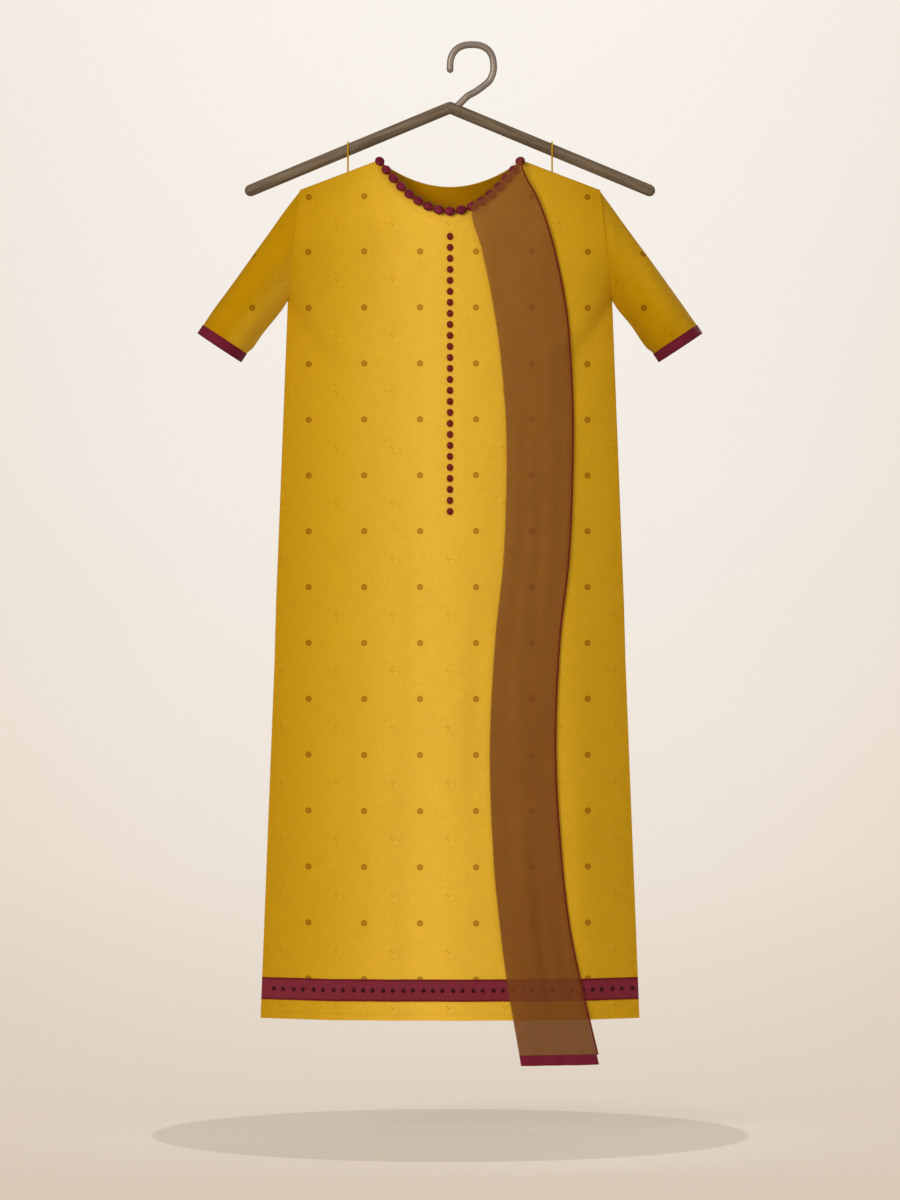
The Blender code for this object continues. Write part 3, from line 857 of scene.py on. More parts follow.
def plain_weave() -> Tree:
    """Threads over and under each other, with slubs: a height and a tone."""
    def write(s: Shades, given: dict) -> dict:
        """Write the group's nodes."""
        u, v, _ = s.split(given["Cloth"])
        turn = s.math("DIVIDE", math.pi, given["Thread"])
        warp = s.math("SINE", s.math("MULTIPLY", u, turn))
        weft = s.math("SINE", s.math("MULTIPLY", v, turn))
        over = s.math("GREATER_THAN", s.math("MULTIPLY", warp, weft), 0.0)
        crown = s.mix(over, s.math("ABSOLUTE", warp), s.math("ABSOLUTE", weft))
        slub = s.math("ADD", *(s.streaks(given["Cloth"], stretch, SLUB_SCALE, SLUB_DETAIL)
                               for stretch in ((1.0, SLUB_WIDTH, 1.0), (SLUB_WIDTH, 1.0, 1.0))))
        crowns = s.math("MULTIPLY", crown, CROWN_HEIGHT)
        return {"Height": s.math("MULTIPLY_ADD", slub, SLUB_HEIGHT, crowns),
                "Tone": s.between(slub, *TWO_NOISES, *EVEN_TONE)}

    return group_tree("plain_weave", {"Cloth": None, "Thread": 0.0005},
                      {"Height": 0.0, "Tone": 0.0}, write)


def spot_lattice() -> Tree:
    """Distance to the nearest spot of an even lattice, and which way it lies."""
    def write(s: Shades, given: dict) -> dict:
        """Write the group's nodes."""
        u, v, _ = s.split(given["Cloth"])
        parts = []
        for along, start in ((u, "Start X"), (v, "Start Y")):
            turns = s.math("DIVIDE", s.math("SUBTRACT", along, given[start]), given["Pitch"])
            near = s.math("SUBTRACT", turns, s.math("ROUND", turns))
            parts.append(s.math("MULTIPLY", near, given["Pitch"]))
        offset = s.node("ShaderNodeCombineXYZ", *parts).outputs[0]
        return {"Distance": s.length(offset), "Offset": offset}

    return group_tree("spot_lattice",
                      {"Cloth": None, "Pitch": 0.07, "Start X": 0.0, "Start Y": 0.0},
                      {"Distance": 0.0, "Offset": None}, write)


def soft_fading() -> Tree:
    """Uneven tone over a whole piece, as dye and handling leave it, from -1 to 1."""
    def write(s: Shades, given: dict) -> dict:
        """Write the group's nodes."""
        both = s.math("ADD", *(s.noise(given["Place"], *patches) for patches in FADING))
        return {"Tone": s.between(both, *TWO_NOISES, *EVEN_TONE)}

    return group_tree("soft_fading", {"Place": None}, {"Tone": 0.0}, write)


def toned(s: Shades, colour: object, tone: object, amount: float) -> Plug:
    """A colour made lighter by a tone up to 1 and darker by one down to -1."""
    scale = s.math("MULTIPLY_ADD", tone, amount, 1.0)
    made = s.node("ShaderNodeVectorMath", colour, operation="SCALE")
    return s.fill(made, {"Scale": scale}).outputs[0]


def bumped(s: Shades, height: object, distance: float, strength: float) -> Plug:
    """A normal from a height; the distance is how many metres a height of 1 is."""
    return s.fill(s.node("ShaderNodeBump"), {
        "Strength": strength, "Distance": distance, "Height": height}).outputs[0]


# ---- finishes ----


@dataclass(frozen=True)
class Finish:
    """A surface finish, made once as the material of its name.

    The bump is the metres that a height of 1 is, and how strongly it shows.
    """

    name: str
    bump: Pair = (0.00005, 0.5)
    specular: float = 0.5
    sheen: float = 0.0
    sheen_tint: Colour = (1.0, 1.0, 1.0)
    sheen_roughness: float = 0.5

    def material(self) -> bpy.types.Material:
        """The finish's material."""
        found = bpy.data.materials.get(self.name)
        if found:
            return found
        made = bpy.data.materials.new(self.name)
        made.use_nodes = True
        s = Shades(made.node_tree)
        seen = self.write(s)
        seen["Normal"] = bumped(s, seen.pop("Height"), *self.bump)
        s.fill(made.node_tree.nodes["Principled BSDF"], {
            **seen, "Specular IOR Level": self.specular, "Sheen Weight": self.sheen,
            "Sheen Tint": self.sheen_tint, "Sheen Roughness": self.sheen_roughness})
        return made

    def write(self, s: Shades) -> dict[str, object]:
        """Write the finish's nodes, and give the shader's inputs and a Height to bump."""
        raise NotImplementedError


@dataclass(frozen=True)
class WovenFinish(Finish):
    """A finish of woven threads."""

    thread: float = 0.0005
    thread_tone: float = 0.05
    rough: Pair = (0.8, 0.7)
    sheen: float = 0.1

    def weave(self, s: Shades, cloth: Plug) -> Plugs:
        """The weave's height and tone."""
        return s.group(plain_weave(), Cloth=cloth, Thread=self.thread).outputs

    def woven(self, s: Shades, weave: Plugs, colour: Plug) -> dict[str, object]:
        """What the shader takes, with the weave's own roughness and height."""
        rough = s.between(weave["Height"], *WEAVE_SPAN, *self.rough)
        return {"Base Color": colour, "Roughness": rough, "Height": weave["Height"]}


@dataclass(frozen=True)
class PrintedCotton(WovenFinish):
    """Mustard cotton with ring dots and half-drop twin specks in faint petals."""

    bump: Pair = (0.00022, 0.55)
    specular: float = 0.025
    sheen_tint: Colour = (0.8, 0.46, 0.06)
    sheen_roughness: float = 0.45
    # the colour where the painted shade is lightest, halfway and deepest
    light: Colour = (0.809, 0.46, 0.04)
    middle: Colour = (0.625, 0.333, 0.012)
    deep: Colour = (0.445, 0.211, 0.0002)
    fading: float = 0.016
    thread: float = 0.00055
    thread_tone: float = 0.045
    rough: Pair = (0.88, 0.74)
    printed: bool = True
    pitch: float = 0.0698
    dot_start: Pair = (-0.0373, 0.0)
    dot_radius: float = 0.0039
    # where a dot's edge and its paler middle fade, in its radius, and how pale the middle is
    dot_edge: Pair = (1.08, 0.92)
    dot_middle: Pair = (0.5, 0.2)
    dot_pale: float = 0.3
    dot_tint: Colour = (0.55, 0.42, 0.35)
    speck_apart: float = 0.001
    speck_radius: float = 0.0008
    speck_edge: Pair = (1.3, 0.7)
    speck_ink: float = 0.9
    # each petal is an arc: how far off its centre lies, its radius, its half width's fade
    petal_apart: float = 0.0048
    petal_radius: float = 0.0052
    petal_edge: Pair = (0.0011, 0.0003)
    petal_ink: float = 0.1

    def spots(self, s: Shades, cloth: object, start: Pair) -> Node:
        """One lattice of spots on the cloth."""
        return s.group(spot_lattice(), **{"Cloth": cloth, "Pitch": self.pitch,
                                          "Start X": start[0], "Start Y": start[1]})

    def write(self, s: Shades) -> dict[str, object]:
        """Write the cotton's colour, print, weave and sheen."""
        cloth = s.flat_cloth()
        weave = self.weave(s, cloth)
        fading = s.group(soft_fading(), Place=s.place()).outputs["Tone"]
        # the painted shade kept on the mesh chooses the colour from light to deep
        shade = s.attribute("shade")
        colour = s.mix(s.math("MULTIPLY", shade, 2.0, clamp=True), self.light, self.middle)
        colour = s.mix(s.math("MULTIPLY_ADD", shade, 2.0, -1.0, clamp=True), colour, self.deep)
        colour = toned(s, colour, fading, self.fading)
        colour = toned(s, colour, weave["Tone"], self.thread_tone)
        if self.printed:
            colour = self.print_on(s, cloth, colour)
        return self.woven(s, weave, colour)

    def print_on(self, s: Shades, cloth: object, colour: object) -> object:
        """Print the ring dots, twin specks and petals on a colour.

        Args:
            s: writes the nodes.
            cloth: the place on the flat cloth.
            colour: the colour under the print.

        Returns:
            The printed colour.
        """
        dots = self.spots(s, cloth, self.dot_start).outputs["Distance"]
        disc, middle = (s.between(dots, *(self.dot_radius * share for share in fade))
                        for fade in (self.dot_edge, self.dot_middle))
        ink = s.math("SUBTRACT", disc, s.math("MULTIPLY", middle, self.dot_pale))
        half_drop = (self.dot_start[0] + self.pitch / 2, self.dot_start[1] + self.pitch / 2)
        offset = self.spots(s, cloth, half_drop).outputs["Offset"]
        for sign in (-1, 1):
            far, reach = (s.length(s.vector("SUBTRACT", offset, (sign * by, -sign * by, 0.0)))
                          for by in (self.speck_apart, self.petal_apart))
            speck = s.between(far, *(self.speck_radius * share for share in self.speck_edge))
            edge = s.math("ABSOLUTE", s.math("SUBTRACT", reach, self.petal_radius))
            arc = s.between(edge, *self.petal_edge)
            for mark, depth in ((speck, self.speck_ink), (arc, self.petal_ink)):
                ink = s.math("MAXIMUM", ink, s.math("MULTIPLY", mark, depth))
        return s.mix(ink, colour, s.mix(1.0, colour, self.dot_tint, "MULTIPLY"))


@dataclass(frozen=True)
class MaroonBand(WovenFinish):
    """Maroon cotton tape with darker selvedges."""

    bump: Pair = (0.00022, 0.6)
    specular: float = 0.1
    sheen_tint: Colour = (0.3, 0.03, 0.05)
    colour: Colour = (0.196, 0.019, 0.03)
    edge_colour: Colour = (0.15, 0.009, 0.0125)
    half_width: float = 0.01375
    edge_line: float = 0.0024
    edge_soft: float = 0.0002
    thread: float = 0.00045
    thread_tone: float = 0.1
    rough: Pair = (0.82, 0.68)

    def write(self, s: Shades) -> dict[str, object]:
        """Write the tape's colour, selvedges and weave."""
        cloth = s.flat_cloth()
        weave = self.weave(s, cloth)
        _, across, _ = s.split(cloth)
        line = self.half_width - self.edge_line
        selvedge = s.between(s.math("ABSOLUTE", across), line - self.edge_soft,
                             line + self.edge_soft)
        colour = toned(s, self.colour, weave["Tone"], self.thread_tone)
        return self.woven(s, weave, s.mix(selvedge, colour, self.edge_colour))


@dataclass(frozen=True)
class SheerChiffon(WovenFinish):
    """Brown chiffon that lets a little of what is behind it, and most light, through."""

    bump: Pair = (0.0003, 0.5)
    specular: float = 0.1
    sheen_tint: Colour = (0.42, 0.22, 0.09)
    # its colour at the lightest and the deepest painted shade, and the painted light of its end
    # below the kameez's hem
    colour: Colour = (0.262, 0.0735, 0.0225)
    deep: Colour = (0.205, 0.056, 0.0098)
    end: Colour = (0.218, 0.0743, 0.0123)
    # how much of the light it stops as cloth, how much more below the hem, and as a shadow
    alpha: float = 0.368
    end_body: float = 0.6
    shadow: float = 0.15
    hem_z: float = KameezForm.neck_z - KameezForm.length + 0.0006
    hem_soft: float = 0.0008
    fading: float = 0.035
    thread: float = 0.0006
    thread_tone: float = 0.05
    thread_body: float = 0.02
    crinkle: Triple = (420.0, 3.0, 0.6)
    crinkle_length: float = 0.25
    crinkle_height: float = 0.8
    rough: Pair = (0.78, 0.62)

    def write(self, s: Shades) -> dict[str, object]:
        """Write the chiffon's colour, sheerness and crinkle."""
        cloth = s.flat_cloth()
        weave = self.weave(s, cloth)
        fading = s.group(soft_fading(), Place=s.place()).outputs["Tone"]
        below_hem = s.between(s.split(s.place())[2], self.hem_z - self.hem_soft,
                              self.hem_z + self.hem_soft, 1.0, 0.0)
        # painted shade deepens down the fall; below the kameez's hem the colour is painted lighter
        colour = s.mix(s.attribute("shade"), self.colour, self.deep)
        colour = s.mix(below_hem, colour, self.end)
        colour = toned(s, colour, fading, self.fading)
        colour = toned(s, colour, weave["Tone"], self.thread_tone)
        crinkle = s.streaks(cloth, (1.0, self.crinkle_length, 1.0), *self.crinkle)
        thin = s.math("MULTIPLY_ADD", weave["Tone"], self.thread_body, self.alpha)
        thin = s.math("MULTIPLY", thin, s.attribute("veil"))
        thin = s.math("MULTIPLY", thin, s.math("MULTIPLY_ADD", below_hem, self.end_body, 1.0))
        shadow_ray = s.node("ShaderNodeLightPath").outputs["Is Shadow Ray"]
        kept = s.math("MULTIPLY_ADD", shadow_ray, self.shadow - 1.0, 1.0)
        return {"Base Color": colour, "Roughness": s.between(crinkle, *MOST_NOISE, *self.rough),
                "Alpha": s.math("MULTIPLY", thin, kept),
                "Height": s.math("MULTIPLY_ADD", crinkle, self.crinkle_height, weave["Height"])}


@dataclass(frozen=True)
class Gloss(Finish):
    """Polished beads and buttons, with the faint cloudiness of cast resin."""

    bump: Pair = (0.00005, 0.3)
    specular: float = 0.12
    colour: Colour = (0.182, 0.009, 0.026)
    deep: Colour = (0.112, 0.004, 0.011)
    rough: Pair = (0.42, 0.52)
    cloud: Pair = (160.0, 3.0)
    scratch_scale: float = 900.0
    scratch_length: float = 6.0

    def write(self, s: Shades) -> dict[str, object]:
        """Write the resin's clouded colour, small scratches and gloss."""
        place = s.place()
        cloud = s.between(s.noise(place, *self.cloud), *MID_NOISE)
        scratch = s.streaks(place, (1.0, 1.0, self.scratch_length), self.scratch_scale)
        return {"Base Color": s.mix(cloud, self.colour, self.deep),
                "Roughness": s.between(scratch, *MID_NOISE, *self.rough), "Height": scratch}


@dataclass(frozen=True)
class StainedWood(Finish):
    """Dark stained wood with its grain along the bar and a rubbed satin finish."""

    bump: Pair = (0.00012, 0.5)
    specular: float = 0.35
    colour: Colour = (0.18, 0.118, 0.062)
    dark: Colour = (0.094, 0.058, 0.029)
    # width over length of the grain and of its pores, then their noise
    widths: Pair = (0.05, 0.09)
    grain: Triple = (260.0, 4.0, 0.6)
    pores: Pair = (1500.0, 2.0)
    grain_span: Pair = (0.36, 0.66)
    pore_span: Pair = (0.58, 0.7)
    pore_dark: float = 0.5
    grain_height: float = 0.5
    roughness: float = 0.46
    grain_roughness: float = 0.12

    def write(self, s: Shades) -> dict[str, object]:
        """Write the wood's grain, pores and satin."""
        broad, pores = (s.streaks(s.flat_cloth(), (width, 1.0, 1.0), *noise)
                        for width, noise in zip(self.widths, (self.grain, self.pores)))
        figure = s.between(broad, *self.grain_span)
        pore = s.between(pores, *self.pore_span)
        colour = s.mix(s.math("MULTIPLY", pore, self.pore_dark),
                       s.mix(figure, self.colour, self.dark), self.dark)
        rough = s.math("MULTIPLY_ADD", figure, self.grain_roughness, self.roughness)
        grain = s.math("MULTIPLY", broad, self.grain_height)
        return {"Base Color": colour, "Roughness": rough,
                "Height": s.math("SUBTRACT", grain, pore)}


@dataclass(frozen=True)
class BrushedWire(Finish):
    """Warm grey metal wire, drawn lengthwise, dulled where rails have rubbed it."""

    bump: Pair = (0.00001, 0.2)
    colour: Colour = (0.255, 0.192, 0.142)
    metallic: float = 0.45
    # a draw line's width over its length, and its scale
    lines: Pair = (0.02, 2200.0)
    rub: Pair = (90.0, 3.0)
    rub_tone: float = 0.07
    roughness: float = 0.36
    line_roughness: float = 0.16

    def write(self, s: Shades) -> dict[str, object]:
        """Write the wire's metal, draw lines and rubbing."""
        lines = s.streaks(s.flat_cloth(), (self.lines[0], 1.0, 1.0), self.lines[1])
        rubbed = s.between(s.noise(s.place(), *self.rub), *MOST_NOISE, *EVEN_TONE)
        rough = s.math("MULTIPLY_ADD", lines, self.line_roughness, self.roughness)
        return {"Base Color": toned(s, self.colour, rubbed, self.rub_tone),
                "Metallic": self.metallic, "Roughness": rough, "Height": lines}


@dataclass(frozen=True)
class SewingThread(Finish):
    """Twisted sewing thread."""

    specular: float = 0.15
    colour: Colour = (0.52, 0.27, 0.012)
    fuzz: Triple = (2400.0, 3.0, 0.6)
    fuzz_tone: float = 0.14
    rough: Pair = (0.8, 0.62)

    def write(self, s: Shades) -> dict[str, object]:
        """Write the thread's fuzz and uneven dye."""
        fuzz = s.noise(s.place(), *self.fuzz)
        tone = s.between(fuzz, *MOST_NOISE, *EVEN_TONE)
        return {"Base Color": toned(s, self.colour, tone, self.fuzz_tone),
                "Roughness": s.between(fuzz, *MOST_NOISE, *self.rough), "Height": fuzz}


PRINTED_COTTON = PrintedCotton("printed_cotton")
PLAIN_COTTON = PrintedCotton("plain_cotton", printed=False)
# the unprinted inner face, darker as painted shade inside the garment
COTTON_REVERSE_PAINTED_SHADE = PrintedCotton("cotton_reverse", printed=False, light=(0.56, 0.242, 0.0008),
                               middle=(0.48, 0.205, 0.0006), deep=(0.4, 0.168, 0.0004))
HEM_TAPE = MaroonBand("hem_tape")
CUFF_TAPE = MaroonBand("cuff_tape", colour=(0.15, 0.008, 0.0225), half_width=0.00615,
                       edge_line=0.0006)
DUPATTA_TAPE = MaroonBand("dupatta_tape", colour=(0.166, 0.0105, 0.03), half_width=0.00625,
                          edge_line=0.0006)
GOLD_THREAD = SewingThread("gold_thread")
MAROON_THREAD = SewingThread("maroon_thread", colour=(0.12, 0.008, 0.013))
HEM_BEAD_GLOSS = Gloss("hem_bead_resin", colour=(0.045, 0.0015, 0.0025),
                       deep=(0.028, 0.0008, 0.0015))
SELVEDGE_CORD = MaroonBand("selvedge_cord", colour=(0.155, 0.015, 0.005), half_width=1.0)
CHIFFON = SheerChiffon("brown_chiffon")
BEAD_GLOSS = Gloss("bead_resin")
BUTTON_GLOSS = Gloss("button_resin", colour=(0.175, 0.012, 0.0065), deep=(0.12, 0.008, 0.0045))
DARK_WOOD = StainedWood("stained_wood")
HOOK_WIRE = BrushedWire("brushed_wire")


# ---- the kameez ----


@dataclass
class Kameez:
    """The sewn dress: two panels, two sleeves and their bands and seams."""

    form: KameezForm
    columns: int = 96
    yoke_rows: int = 44
    skirt_rows: int = 150
    tape_rows: int = 4
    cloth: float = 0.0008
    tape: float = 0.0007
    tape_stand: float = 0.0002
    hem_band: Pair = (0.0514, 0.0238)
    cuff_band: float = 0.0123
    cuff_round: float = 0.23
    cuff_lift: float = 0.0005
    print_level: float = -0.676
    # the painted shade: where it is lightest, how deep it gets to each side, how much deeper at the
    # top
    light_x: float = -0.026
    left_painted_shade: Pair = (0.8, 0.11)
    right_painted_shade: Pair = (0.69, 0.2)
    top_reach: float = 0.25
    sleeve_columns: int = 72
    sleeve_rows: int = 48
    sleeve_start: float = 0.004
    # the share of its length over which a sleeve is held at each end, and its loose swells:
    # least lift, height, how many round it and along it, and how far apart left and right are
    held_ends: float = 0.15
    swells: tuple[float, ...] = (0.0012, 0.0016, 1.4, 2.6, 5.0)
    # the drag ripples under it: height, how many along it and how far they lean
    ripples: Triple = (0.0008, 9, 2.2)
    # the print's place on a sleeve goes by the height seen and by the way round
    sleeve_print: Pair = (0.685, 0.315)
    # painted shade at the armhole, the edge that the light misses, 1 for the lower, and how much
    # painted light lifts that edge
    left_sleeve: tuple[float, int, float] = (0.95, 1, 0.6)
    right_sleeve: tuple[float, int, float] = (0.9, -1, 0.23)
    # where round the sleeve the painted light starts, and over what turn it grows
    painted_light_turn: Pair = (0.15, 0.8)
    seam_radius: float = 0.001
    seam_shade: float = 0.85
    seam_fade: int = 6
    stitch: Triple = (0.0022, 0.0031, 0.00027)
    stitch_ends: Pair = (0.9, 0.55)
    stitch_lift: float = 0.0001
    # how far inside an edge the rows of stitches run
    tape_margin: float = 0.0016
    hem_margin: float = 0.0085
    side_margin: float = 0.004
    slit_margin: float = 0.0065
    slit_ends: Pair = (0.006, 0.01)
    neck_margin: Pair = (0.001, 0.0115)
    hem_bead: Triple = (0.0048, 0.0058, 0.0014)
    hem_bead_foot: float = -0.2
    hem_bead_pitch: float = 0.01245
    hem_bead_shift: float = 0.0037
    hem_bead_edge: float = 0.004
    hem_bead_lift: float = 0.0004
    line_steps: int = 240

    def build(self) -> None:
        """Make every piece of the kameez."""
        for face in Face:
            panel = self.panel(face)
            band = self.hem_tape(face)
        for hand in Hand:
            sleeve = self.sleeve(hand)
            cuff = self.cuff(hand)
        self.seams()
        self.stitching()
        for face in Face:
            self.hem_beads(face)

    def shares(self) -> list[float]:
        """Places across a panel from -1 to 1, one of them on each neck point."""
        neck = self.form.neck_half_width / self.form.shoulder_half_width
        inner = self.columns // 2
        outer = (self.columns - inner) // 2
        left = [-1 + (1 - neck) * i / outer for i in range(outer)]
        middle = [-neck + 2 * neck * i / inner for i in range(inner + 1)]
        return left + middle + [-x for x in reversed(left)]

    def tone(self, x: float, drop: float) -> float:
        """The cotton's painted shade: lightest a little left of the middle, deeper to both sides.

        Args:
            x: place across.
            drop: place down.

        Returns:
            The painted shade, from 0, light, to 1, deep.
        """
        reach = self.form.half_width(drop)
        high = smooth(1 - drop / self.top_reach)
        if x > self.light_x:
            deep, more = self.right_painted_shade
            return (1 + more * high) * deep * (x - self.light_x) / (reach - self.light_x)
        deep, more = self.left_painted_shade
        return (1 + more * high) * deep * (self.light_x - x) / (reach + self.light_x)

    def panel(self, face: Face) -> Item:
        """A body panel from its top edge to the hem."""
        form, shares, node = self.form, self.shares(), f"{face.word}_panel"

        def spot(i: int, j: int) -> Pair:
            """Place across and down."""
            share = -shares[i] * face.value
            top = form.top_at(share * form.shoulder_half_width, face)
            if j <= self.yoke_rows:
                drop = blend(top, form.underarm_drop, j / self.yoke_rows)
            else:
                drop = blend(form.underarm_drop, form.length,
                             (j - self.yoke_rows) / self.skirt_rows)
            return share * form.half_width(drop), drop

        def flat(i: int, j: int) -> Pair:
            """Place on the flat cloth."""
            x, drop = spot(i, j)
            return x, form.neck_z - drop - self.print_level

        # each point of the panel keeps its painted shade
        item = sheet_of(node + "_cloth", self.columns, self.yoke_rows + self.skirt_rows,
                        lambda i, j: form.on(*spot(i, j), face), flat,
                        shade=lambda i, j: self.tone(*spot(i, j)))
        give_wall(item, self.cloth, lined=True)
        return dress(item, PRINTED_COTTON, "gold_cotton", node, reverse=COTTON_REVERSE_PAINTED_SHADE)

    def hem_tape(self, face: Face) -> Item:
        """The maroon tape sewn round the skirt above its hem."""
        form, shares, rows = self.form, self.shares(), self.tape_rows
        top, bottom = (form.length - h for h in self.hem_band)

        def spot(i: int, j: int) -> Pair:
            """Place across and down."""
            drop = blend(top, bottom, j / rows)
            return -shares[i] * face.value * form.half_width(drop), drop

        def flat(i: int, j: int) -> Pair:
            """Place on the flat tape."""
            x, drop = spot(i, j)
            return x, (top + bottom) / 2 - drop

        lift = self.tape + self.tape_stand
        item = sheet_of(f"hem_tape_{face.word}", self.columns, rows,
                        lambda i, j: form.on(*spot(i, j), face, lift=lift), flat)
        give_wall(item, self.tape)
        return dress(item, HEM_TAPE, "maroon_trim", f"hem_band_{face.word}")

    def sleeve_angle(self, i: int) -> float:
        """The way round a sleeve at a column, which starts at its lower edge."""
        return 2 * math.pi * i / self.sleeve_columns + math.pi

    def sleeve(self, hand: Hand) -> Item:
        """A short sleeve, one rolled sheet from the armhole to the cuff."""
        form = self.form
        least, swell, round_it, along_it, seed = self.swells
        ripple, many, lean = self.ripples
        by_height, by_turn = self.sleeve_print
        armhole, away, painted_light = self.left_sleeve if hand is Hand.LEFT else self.right_sleeve

        def spot(i: int, j: int) -> Vector:
            """Place in the frame."""
            angle = self.sleeve_angle(i)
            share = self.sleeve_start + (1 - self.sleeve_start) * j / self.sleeve_rows
            loose = smooth(share / self.held_ends) * smooth((1 - share) / self.held_ends)
            lift = least + swell * noise.noise(Vector(
                (math.cos(angle) * round_it + seed * hand.value, math.sin(angle) * round_it,
                 share * along_it)))
            lift += (ripple * math.sin(many * share + lean * math.sin(angle))
                     * max(-math.cos(angle), 0))
            return form.sleeve_point(hand, share, angle, lift * loose)

        def flat(i: int, j: int) -> Pair:
            """Place on the flat cloth."""
            angle = self.sleeve_angle(i)
            upper, under = (form.sleeve_point(hand, j / self.sleeve_rows, edge)
                            for edge in (0.0, math.pi))
            middle = (upper + under) / 2
            round_by = abs(math.remainder(angle + math.pi / 2, 2 * math.pi))
            turn = min(round_by, math.pi - round_by)
            stretch = math.copysign(1, math.cos(angle)) * (by_height * math.sin(turn)
                                                           + by_turn * turn)
            near = middle + (upper - middle) * stretch
            return near.x - form.centre_x, near.z - self.print_level

        def tone(i: int, j: int) -> float:
            """Painted shade, deep, with painted light on the side that the light misses: under
            left, over right.
            """
            turned = away * math.cos(2 * math.pi * i / self.sleeve_columns)
            start, span = self.painted_light_turn
            return (blend(armhole, 1.0, j / self.sleeve_rows)
                    * (1 - painted_light * smooth((turned + start) / span)))

        item = sheet_of(f"sleeve_{hand.word}_cloth", self.sleeve_columns, self.sleeve_rows,
                        spot, flat, shade=tone)
        weld(item)
        give_wall(item, self.cloth, lined=True)
        return dress(item, PRINTED_COTTON, "gold_cotton", f"sleeve_{hand.word}",
                     reverse=COTTON_REVERSE_PAINTED_SHADE)

    def cuff(self, hand: Hand) -> Item:
        """The maroon tape that finishes a sleeve."""
        rows, band = self.tape_rows, self.cuff_band
        item = sheet_of(
            f"cuff_tape_{hand.word}", self.sleeve_columns, rows,
            lambda i, j: self.form.sleeve_point(hand, 1.0, self.sleeve_angle(i),
                                                self.cuff_lift, band * j / rows),
            lambda i, j: (self.cuff_round * i / self.sleeve_columns, band * (0.5 - j / rows)))
        weld(item)
        give_wall(item, self.cloth + self.tape)
        return dress(item, CUFF_TAPE, "maroon_trim", f"cuff_band_{hand.word}")

    def seam(self, name: str, points: Sequence[Vector], closed: bool = False,
             fade: int = 0) -> None:
        """A fine raised seam in the cotton's colour, at a fixed painted shade.

        Args:
            name: the seam's name.
            points: its line.
            closed: whether its ends meet.
            fade: how many points it thins out over at its end.
        """
        radii = [min((len(points) - k) / (fade + 1), 1.0) for k in range(len(points))]
        item = cord_along(name, points, self.seam_radius, closed, resolution=1, radii=radii)
        # the seam's colour is the cotton's at one painted shade all along it
        marked(item, "shade", repeat(self.seam_shade))
        dress(item, PLAIN_COTTON, "gold_cotton")

    def seams(self) -> None:
        """The shoulder, armhole and side seams and the bound neck edges."""
        form, ring = self.form, self.sleeve_columns
        for hand in Hand:
            word, side = hand.word, hand.value
            self.seam(f"armhole_seam_{word}",
                      [form.sleeve_point(hand, 0.0, 2 * math.pi * k / ring)
                       for k in range(ring)], closed=True)
            self.seam(f"shoulder_seam_{word}",
                      [form.world(side * x, 0.0, form.shoulder_at(x))
                       for x in spaced(form.neck_half_width, form.shoulder_half_width, 20)])
            self.seam(f"side_seam_{word}",
                      [form.world(side * form.half_width(drop), 0.0, drop)
                       for drop in spaced(form.underarm_drop, form.slit_drop, 40)],
                      fade=self.seam_fade)
        for face in Face:
            self.seam(f"neck_edge_{face.word}",
                      [form.on(x, form.top_at(x, face), face, -self.cloth / 2)
                       for x in (share * form.neck_half_width for share in spaced(-1, 1, 60))])

    def one_stitch(self) -> Item:
        """One stitch along X, its two ends pulled down into the cloth."""
        length, _, radius = self.stitch
        sunk, narrowed = self.stitch_ends
        item = started("stitch_pattern", bpy.ops.mesh.primitive_cylinder_add, vertices=6,
                       radius=radius, depth=length / 2, rotation=(0, math.pi / 2, 0))
        for side in (-1, 1):
            pick_faces(item, lambda face: face.normal.x * side > FACING)
            with editing(item):
                bpy.ops.mesh.extrude_region_move(TRANSFORM_OT_translate={
                    "value": (side * length / 4, 0, -radius * sunk)})
                bpy.ops.transform.resize(value=(1.0, narrowed, narrowed), center_override=(
                    side * length / 2, 0, -radius * sunk))
            with editing(item):
                bpy.ops.mesh.select_all(action="DESELECT")
        shade_smooth(item, 60)
        return item

    def on_cloth(self, face: Face, spots: Sequence[Pair], lift: float) -> Route:
        """A line over a panel.

        Args:
            face: the panel.
            spots: the line's places, across and down.
            lift: how far it stands off the panel.

        Returns:
            The line, with the way out of the cloth at each place.
        """
        return Route([self.form.on(x, drop, face, lift) for x, drop in spots],
                     [self.form.outward(x, drop, face) for x, drop in spots])

    def sew(self, name: str, line: Route, finish: Finish = GOLD_THREAD,
            slot: str = "gold_cotton") -> None:
        """Sew a row of stitches along a line on the cloth.

        Args:
            name: the row's name.
            line: the line.
            finish: the thread's finish.
            slot: the record's slot, passed on to dress.
        """
        pitch = self.stitch[1]
        row = laid_along(self.one_stitch(), line, pitch, start=pitch / 2)
        dress(named(row, name), finish, slot)

